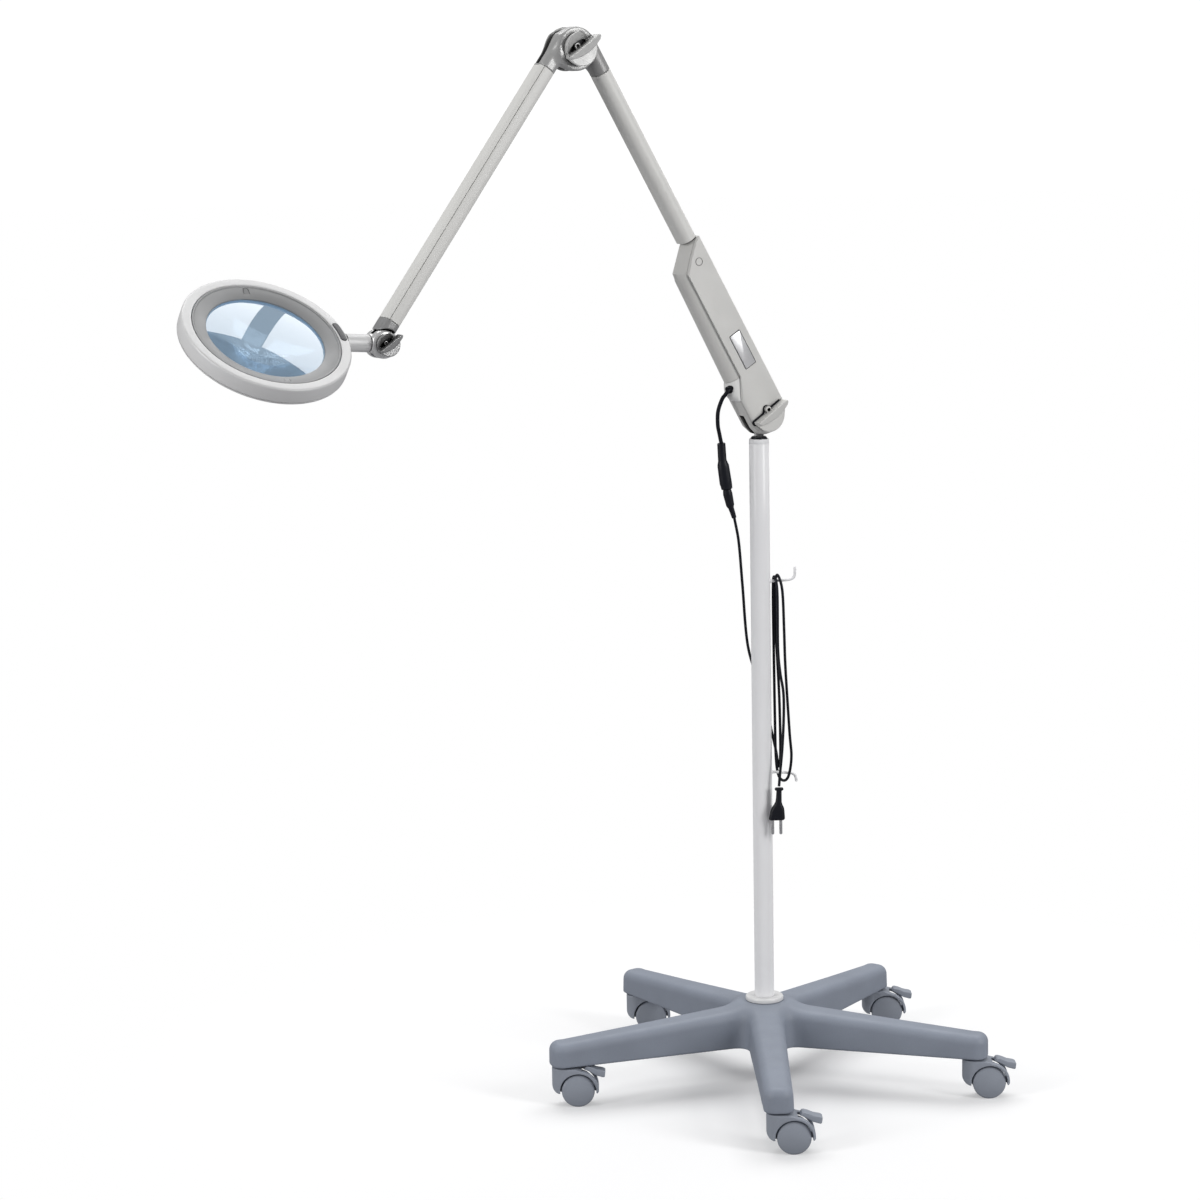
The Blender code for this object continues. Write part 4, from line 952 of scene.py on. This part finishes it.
def knuckle_field(x, y, z):
    bar = tube_end(x, y, z, LOWER_TUBE_Y, LOWER_CORNER, -44, -8)
    reach = from_axis(x, y)
    bar = smooth_max(bar, 27.2 - reach, 0.7)
    stem = polygon(x, y, [(-42, -29), (-12, -29), (0, -13), (0, 8), (-14, -4), (-42, -12.5)])
    plan = np.minimum(reach - 14, stem)
    tongue = round_edge(plan, abs(z - FORK_SLOT) - 4.4, 0.6)
    bar = smooth_min(bar, tongue, 1)
    return np.maximum(bar, 4.2 - reach)


def elbow_fixed():
    end = net(knuckle_field, (-46, -33, -16), (25, 25, 16), 0.6)
    soft_piece("elbow_end_piece", end, LOWER_END, "lower_arm", "joint_grey", "elbow_knuckle")


# Forearm and wrist


def clevis_field(x, y, z):
    reach = from_axis(x, y)
    disc = round_edge(reach - 26, abs(z) - 16, 2.4)
    bar = tube_end(x, y, z, FOREARM_TUBE_Y, PROFILE_C, 0, 41)
    body = smooth_min(disc, bar, 10)
    body = np.maximum(body, x - 41)
    slot = np.maximum(abs(z - FORK_SLOT) - 6, x - 39)
    body = smooth_max(body, -slot, 0.9)
    return np.maximum(body, 4.2 - reach)


def forearm():
    fork = net(clevis_field, (-28, -29, -18), (43, 28, 18), 0.6)
    soft_piece("elbow_fork", fork, FOREARM, "forearm", "clevis_grey", "elbow_clevis")
    bolt("elbow_pivot_bolt", "elbow_bolt", "forearm", FOREARM, 16, 8, 4)
    start, end = 41.3, 398.3
    seam = FOREARM_TUBE_Y - PROFILE_W / 2 + 4
    tube = profile_solid(start, end, FOREARM_TUBE_Y)
    # The tube and the strip along its underside are the same profile, cut on either side of the seam.
    for name, node, low, high in (("forearm_tube", "forearm_profile", seam - 20, seam),
                                  ("forearm_strip", "forearm_cover", seam - 0.6, seam + 40)):
        waste = prism(rectangle(start - 9, end + 9, low, high), -20, 20)
        piece(name, tube, FOREARM, "forearm", "arm_white", node, sharp=30, cuts=[waste])


def wrist_end_field(x, y, z):
    middle = FOREARM_TUBE_Y - WRIST_Y
    bar = tube_end(x, y, z, middle, PROFILE_C, -26.9, -8)
    reach = from_axis(x, y)
    bar = smooth_max(bar, 18.1 - reach, 0.7)
    seam = middle - PROFILE_W / 2 + 3.6
    groove = np.maximum(abs(y - seam) - 0.35, 13.2 - abs(z))
    bar = np.maximum(bar, -groove)
    plan = np.minimum(reach - 12, np.maximum(between(x, -22, 0), between(y, -12, 6)))
    tongue = round_edge(plan, abs(z) - 3.5, 0.5)
    bar = smooth_min(bar, tongue, 0.8)
    return np.maximum(bar, 3.2 - reach)


def fork_field(x, y, z):
    reach = from_axis(x, y)
    body = round_edge(reach - 17, abs(z) - 14, 5)
    neck = np.maximum(from_axis(y, z) - 10.4, between(x, 0, 15.7))
    body = smooth_min(body, neck, 3)
    body = np.maximum(body, x - 15.8)
    slot = np.maximum(abs(z) - 3.9, x - 12)
    body = smooth_max(body, -slot, 0.7)
    return np.maximum(body, 3.2 - reach)


def wrist():
    end = net(wrist_end_field, (-29, -18, -16), (14, 14, 16), 0.5)
    soft_piece("wrist_end_piece", end, FOREARM_END, "forearm", "wrist_grey", "wrist_tongue")
    fork = net(fork_field, (-19, -19, -16), (18, 19, 16), 0.5)
    soft_piece("wrist_fork", fork, WRIST_FRAME, "wrist", "fork_silver", "wrist_clevis")
    bolt("wrist_pivot_bolt", "wrist_bolt", "wrist", WRIST_FRAME, 14, 5.5, 3)


def knobs():
    """Clamping knobs: face they sit on, radius, depth, angle of the bar and finish."""
    for joint, where, *shape in (("shoulder", LOWER, 16, 22, 0.9, -87, "casing_grey", True),
                                 ("elbow", FOREARM, 16, KNOB_R, 1, 160.3, "knob_grey"),
                                 ("wrist", WRIST_FRAME, 14, 14.2, 0.85, -142, "knob_dark")):
        knob(joint + "_clamp_knob", joint + "_knob", joint + "_knob_body", where, *shape)


# Head

HEAD_R = 100.5
HEAD_TOP = 10.5
PLUG_R = 79.2
PLUG_ANGLES = (89, 269)
LENS_R = 73.5
LENS_CURVE = 340


def switch_outline(grow):
    """Oblong with rounded ends that follows the rim, beside the neck."""
    middle, half, azimuth, spread = 94.3, 3.7 + grow, 184, 7.4
    outer = arc((0, 0), middle + half, azimuth - spread, azimuth + spread, 12)
    inner = arc((0, 0), middle - half, azimuth + spread, azimuth - spread, 12)
    ends = []
    for angle, start in ((azimuth + spread, 0), (azimuth - spread, 180)):
        ends.append(arc(polar(middle, angle), half, angle + start, angle + start + 180, 12)[1:-1])
    return outer + ends[0] + inner + ends[1]


def plug_outline(azimuth, grow):
    """Oval pressed into the bezel, longer along the radius."""
    centre = Vector(polar(1, azimuth)) * PLUG_R
    direction = centre.normalized()
    sideways = Vector((-direction.y, direction.x))
    points = []
    for i in range(36):
        angle = 2 * pi * i / 36
        along = direction * ((5.4 + grow) * cos(angle))
        points.append(tuple(centre + along + sideways * ((3.5 + grow) * sin(angle))))
    return points


def lens_height(r):
    edge = sqrt(LENS_CURVE ** 2 - LENS_R ** 2)
    return sqrt(LENS_CURVE ** 2 - r * r) - edge


def head_ring(name, profile, steps, material, node, sharp=30, cuts=()):
    piece(name, lathe(profile, steps), HEAD_FRAME, "head", material, node, sharp, cuts)


def head():
    near = -130.7
    wall = -HEAD_R - 0.6
    neck = [(7.4, near), (10, near), (10.4, near + 0.4), (10.4, wall), (6.7, wall), (6.7, wall + 8),
            (4, wall + 8), (4, near + 15), (7.4, near + 15)]
    neck = turned(lathe(neck, 96), ALONG_X)
    piece("neck_sleeve", neck, HEAD_FRAME, "head", "head_grey", "neck_tube", sharp=35)

    r = HEAD_R
    rim = [(r - 3, -8.5)] + arc((r - 0.8, -7.7), 0.8, 270, 360, 4)
    rim += [(r, 7.9)] + arc((r - 2.6, 7.9), 2.6, 0, 90, 10)[1:]
    rim += [(90.2, HEAD_TOP), (89.4, 10.42), (88.8, 10.1), (88.5, 9.6), (88.5, 7.2), (r - 3.4, 7.2),
            (r - 3, 6.8)]
    opening = prism(switch_outline(0.35), 4, 14)
    head_ring("head_ring", rim, 192, "head_grey", "head_housing", sharp=32, cuts=[opening])

    # Conical bezel with a fine raised lip near its outer edge.
    bezel = [(70, 2.9), (70, 4.3), (70.3, 4.8), (71, 5.1), (84.6, 9.05), (85, 9), (85.3, 9.3),
             (85.9, 9.75), (86.7, 9.95), (87.5, 9.8), (87.9, 9.3), (87.9, 7.4), (86, 6.9), (73, 2.9)]
    seats = [prism(plug_outline(a, 0.45), 6.6, 20) for a in PLUG_ANGLES]
    head_ring("lens_bezel", bezel, 160, "bezel_grey", "head_bezel", cuts=seats)
    for number, azimuth in enumerate(PLUG_ANGLES, 1):
        rings = []
        for level, grow in ((6, 0), (7.25, 0), (7.45, -0.3)):
            rings.append([(x, y, level + 0.29 * (hypot(x, y) - PLUG_R))
                          for x, y in plug_outline(azimuth, grow)])
        piece("bezel_insert_%d" % number, loft(rings), HEAD_FRAME, "head", "bezel_grey",
              "bezel_plug_%d" % number, sharp=30)

    radii = [LENS_R * i / 56 for i in range(57)]
    top = [(q, 1.5 + lens_height(q)) for q in radii]
    glass = top + [(LENS_R, 0)] + [(q, -h) for q, h in reversed(top)]
    head_ring("magnifier_lens", glass, 256, "lens_glass", "lens")
    holder = [(71, -3), (76, -2.4), (76.4, -7), (76.6, -12), (76, -12.7), (75, -12.9),
              (73.6, -12.7), (71.9, -12), (71.5, -8)]
    head_ring("lens_holder", holder, 144, "holder_frost_painted_glow", "lens_retainer", 40)
    window = [(77, -11.5), (77.3, -11.8), (87.7, -11.8), (88, -11.5), (88, -9.6), (77, -9.6)]
    head_ring("light_window", window, 144, "diffuser", "led_diffuser", sharp=40)
    board = rectangle(78, 87.5, -2.6, -1)
    head_ring("light_board", board, 96, "board_green", "led_board", sharp=40)
    cover = [(88.4, -12.6), (93, -12.6), (97, -12.3), (98.8, -11.7), (99.9, -10.6), (r - 0.2, -9.6),
             (r - 0.2, -8.9), (r - 4, -8.9), (r - 4.6, -7), (88.4, -7)]
    head_ring("head_under_cover", cover, 192, "head_grey", "lower_cover")
    rocker = prism(switch_outline(0), 7.8, HEAD_TOP + 0.9)
    piece("rocker_switch", rocker, HEAD_FRAME, "switch_button", "rubber_dark", "power_switch", sharp=35,
          bevel=0.8)


# Cables


def bent_piece(name, shape, node):
    """Cable laid between two bodies, fixed in place with no body of its own."""
    obj = make_object(name, shape, WORLD)
    dress(obj, None, "cable_black", None, 60)
    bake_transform(obj)
    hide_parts(node)


def lead_and_connector():
    lead = [tuple(LOWER @ Vector((LEAD_HOLE_X + a, b, c)))
            for a, b, c in ((0.3, 17, 5), (0, 26.5, 7.2), (-3, 32.3, 5))]
    lead += [(-46.9, -25.8, 840), (-52, -25, 825), (-52.5, -23, 808), (-50.3, -20, 795),
             (-48.3, -18.2, 784.6)]
    bent_piece("lamp_cable", swept(smooth_path(lead, 12), 2.5, 20),
               "lamp_lead")
    # Stations of the two halves of the connector: x, y, z and half width.
    socket = ((-48.25, -18.05, 784.3, 4.4), (-48.2, -18, 783.6, 5.2), (-47.2, -17.2, 763.5, 5.4),
              (-47, -17.1, 762, 5.5), (-46.4, -16.6, 757, 7), (-46, -16.4, 755, 7.4), (-43, -14.6, 733, 7.8),
              (-42.5, -14.3, 731.5, 7.5), (-41.7, -13.8, 726.2, 7.1), (-41.6, -13.8, 725.5, 6.6))
    plug = ((-41.5, -13.7, 725, 5), (-41.3, -13.6, 723.6, 5.4), (-40.6, -13, 719, 6),
            (-37.6, -10.9, 704.6, 5.2), (-37.2, -10.6, 703, 4.4), (-36.6, -10.4, 701, 3.6),
            (-34.6, -9.2, 695, 3.3), (-32.8, -8.3, 688.8, 3), (-32.6, -8.2, 688, 2.6))
    for name, node, stations, ratio in (("cable_socket", "lead_socket", socket, 0.86),
                                        ("cable_plug", "lead_plug", plug, 0.9)):
        piece(name, flat_sweep(stations, ratio), WORLD, "swivel", "black_plastic", node, sharp=45)


def flat_sweep(stations, ratio):
    """Sweep whose section is squashed front to back, with steps between its stations."""
    fine = []
    radii = []
    for (*here, low), (*there, high) in zip(stations, stations[1:]):
        for k in range(4):
            fine.append(Vector(here).lerp(Vector(there), k / 4))
            radii.append(low + (high - low) * k / 4)
    fine.append(Vector(stations[-1][:3]))
    radii.append(stations[-1][3])
    verts, faces = swept(fine, radii, 28)
    squashed = []
    for row, point in enumerate(fine):
        for vert in verts[row * 28:(row + 1) * 28]:
            offset = Vector(vert) - point
            offset.y *= ratio
            squashed.append(tuple(point + offset))
    return squashed, faces


def mains_lead():
    points = [(-32.4, -8.1, 687.6), (-27, -4, 656), (-22.5, 5, 600), (-16, 15.5, 520),
              (-2, 20.5, 470), (8, 20, 432), (14.5, 17.5, 402)]
    # First turn: up behind, over the upper hook, down in front and bowed out below.
    points += [(19, 14, 380), (21.5, 9.5, 362), (24, 8, 380), (23.2, 8.6, 453), (20, 8, 530), (19, 5, 594),
               (21, 0, 612.5), (25.5, -4.6, 604), (28, -5.4, 585), (29.3, -5.4, 540), (30.6, -5.4, 492),
               (35, -5.4, 411), (37.2, -5.2, 378), (33.6, -4, 353), (27.5, 0, 345.5), (21, 4, 352)]
    # Second turn: close to the column, then across in front of the first and down to the plug.
    points += [(18, 5.6, 376), (17.2, 5.6, 428), (16.6, 5, 500), (16.2, 4.8, 592), (17.8, 0, 610.6),
               (21, -5, 592), (21.2, -6, 520), (23.6, -8.4, 488), (27.4, -9.6, 462), (27.4, -11, 430),
               (25, -14, 390), (21.6, -17.4, 358), (20.2, -18.2, 342.3)]
    bent_piece("mains_flex", swept(smooth_path(points, 14), 1.8, 14),
               "mains_cable")

    y = -18.5
    stations = ((340.5, 20.2, 2.6, 2.6), (340.2, 20.2, 5.2, 3.6), (339.2, 20.2, 5.5, 3.8),
                (337.6, 20.2, 5.4, 3.7), (336.8, 20.1, 3.6, 3.4), (336, 20.1, 3.4, 3.3),
                (328, 19.8, 3.6, 3.5), (322, 19.4, 4, 3.9), (318.5, 18.9, 5.4, 4.3), (314.5, 18.4, 7.8, 4.7),
                (311, 18, 8.8, 4.8), (301, 17.2, 10.2, 5), (299.4, 16.9, 10, 4.9), (298.6, 16.8, 9, 4.4))
    rings = []
    for z, x, half, depth in stations:
        outline = rounded_rectangle((x, 0), 2 * half, 2 * depth, min(half, depth) * 0.8, 6)
        rings.append([(px, y + py, z) for px, py in outline])
    piece("two_pin_plug", loft(rings), WORLD, "base", "black_plastic", "mains_plug", sharp=38)
    pin = [(0, 279.4), (1, 279.5), (1.6, 279.9), (2, 280.8), (2, 298.2), (0, 298.2)]
    for number, side in ((1, -1), (2, 1)):
        at = Matrix.Translation((16.8 + side * 5.2, y, 0))
        piece("contact_pin_%d" % number, lathe(pin, 32), at, "base", "steel", "plug_pin_%d" % number)


# Stage


def straight_ray(tree):
    """One for rays that come from the camera, also through glass."""
    ray = add_node(tree, "LightPath").outputs
    return combine("MAXIMUM", ray["Is Camera Ray"], ray["Is Transmission Ray"])


def floor():
    """White ground, grey to the lamp's own light, that glows more and more further from the lamp."""
    corners = [(x, y, FLOOR_Z) for x, y in rectangle(-30000, 30000, -30000, 30000)]
    obj = make_object("floor", (corners, [(0, 1, 2, 3)]), WORLD)
    white = (0.93, 0.93, 0.935)
    material = surface("floor_white", white, 0.7, grain=30, bump=0, mottle=0.004, wear=0)
    tree = material.node_tree
    shader = tree.nodes["Principled BSDF"]
    place = tree.nodes["Texture Coordinate"].outputs["Object"]
    away = add_node(tree, "VectorMath", {0: place}, operation="LENGTH").outputs["Value"]
    seen = straight_ray(tree)
    share = combine("MULTIPLY", remap(away, 0.1, 0.9, 0.1, 1), seen)
    tone = mix_colour(seen, (0.3, 0.3, 0.31, 1), (0.95, 0.95, 0.955, 1))
    feed(shader, {"Base Color": tone})
    show_mixed(tree, "Material Output", share, shader, add_node(tree, "Emission"))
    obj.data.materials.append(material)


def area_light(name, location, target, size, power):
    light = bpy.data.lights.new(name, "AREA")
    light.shape = "RECTANGLE"
    light.size, light.size_y = size
    light.energy = power
    obj = add_object(name, light)
    obj.location = Vector(location)
    obj.rotation_mode = "QUATERNION"
    obj.rotation_quaternion = (Vector(target) - Vector(location)).to_track_quat("-Z", "Y")
    obj.visible_camera = False


def world_light():
    world = bpy.data.worlds.new("studio")
    bpy.context.scene.world = world
    world.use_nodes = True
    tree = world.node_tree
    back = feed(tree.nodes["Background"], {"Color": (0.99, 0.99, 1, 1), "Strength": 0.34})
    seen = add_node(tree, "Background", {"Color": (1, 1, 1, 1), "Strength": 1.05})
    show_mixed(tree, "World Output", straight_ray(tree), back, seen)


def lights():
    world_light()
    target = (-0.1, 0, 0.6)
    area_light("key_right", (2.9, -2.1, 1.9), target, (0.9, 2.4), 72)
    area_light("fill_left", (-2.9, -1.7, 1.5), target, (0.7, 2.6), 50)
    # Two ceiling panels behind the lamp, with a gap between them that shows in the lens.
    for name, x in (("panel_left", -0.85), ("panel_right", 1.15)):
        area_light(name, (x, 1.85, 3.4), (x, 1.85, 0), (1.7, 2.7), 50)


def camera():
    """Viewpoint 3.8 m in front of the stand, near the height of its top, looking slightly down."""
    pitch = radians(9.715)
    yaw = radians(0.205)
    roll = radians(-1.092)
    ahead = cos(pitch)
    forward = Vector((sin(yaw) * ahead, cos(yaw) * ahead, -sin(pitch)))
    level = Vector((cos(yaw), -sin(yaw), 0))
    above = level.cross(forward)
    right = level * cos(roll) + above * sin(roll)
    up = -level * sin(roll) + above * cos(roll)
    matrix = Matrix((right, up, -forward)).transposed().to_4x4()
    matrix.translation = Vector((-0.2173, -3.7988, 1.2353))
    data = bpy.data.cameras.new("camera")
    data.lens = 91.13
    data.sensor_width = 36
    data.clip_end = 100
    obj = add_object("camera", data)
    obj.matrix_world = matrix
    bpy.context.scene.camera = obj
    bpy.context.scene.view_settings.view_transform = "Standard"


def carried_over():
    """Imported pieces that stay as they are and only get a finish."""
    for node, name in (("led_driver", "black_plastic"), ("column_screw_1", "steel"),
                       ("column_screw_2", "steel")):
        paint(frame["nodes"][node], name)


make_materials()
base()
column()
castors()
swivel()
casing()
lower_tube()
elbow_fixed()
forearm()
wrist()
knobs()
head()
lead_and_connector()
mains_lead()
carried_over()
floor()
lights()
camera()
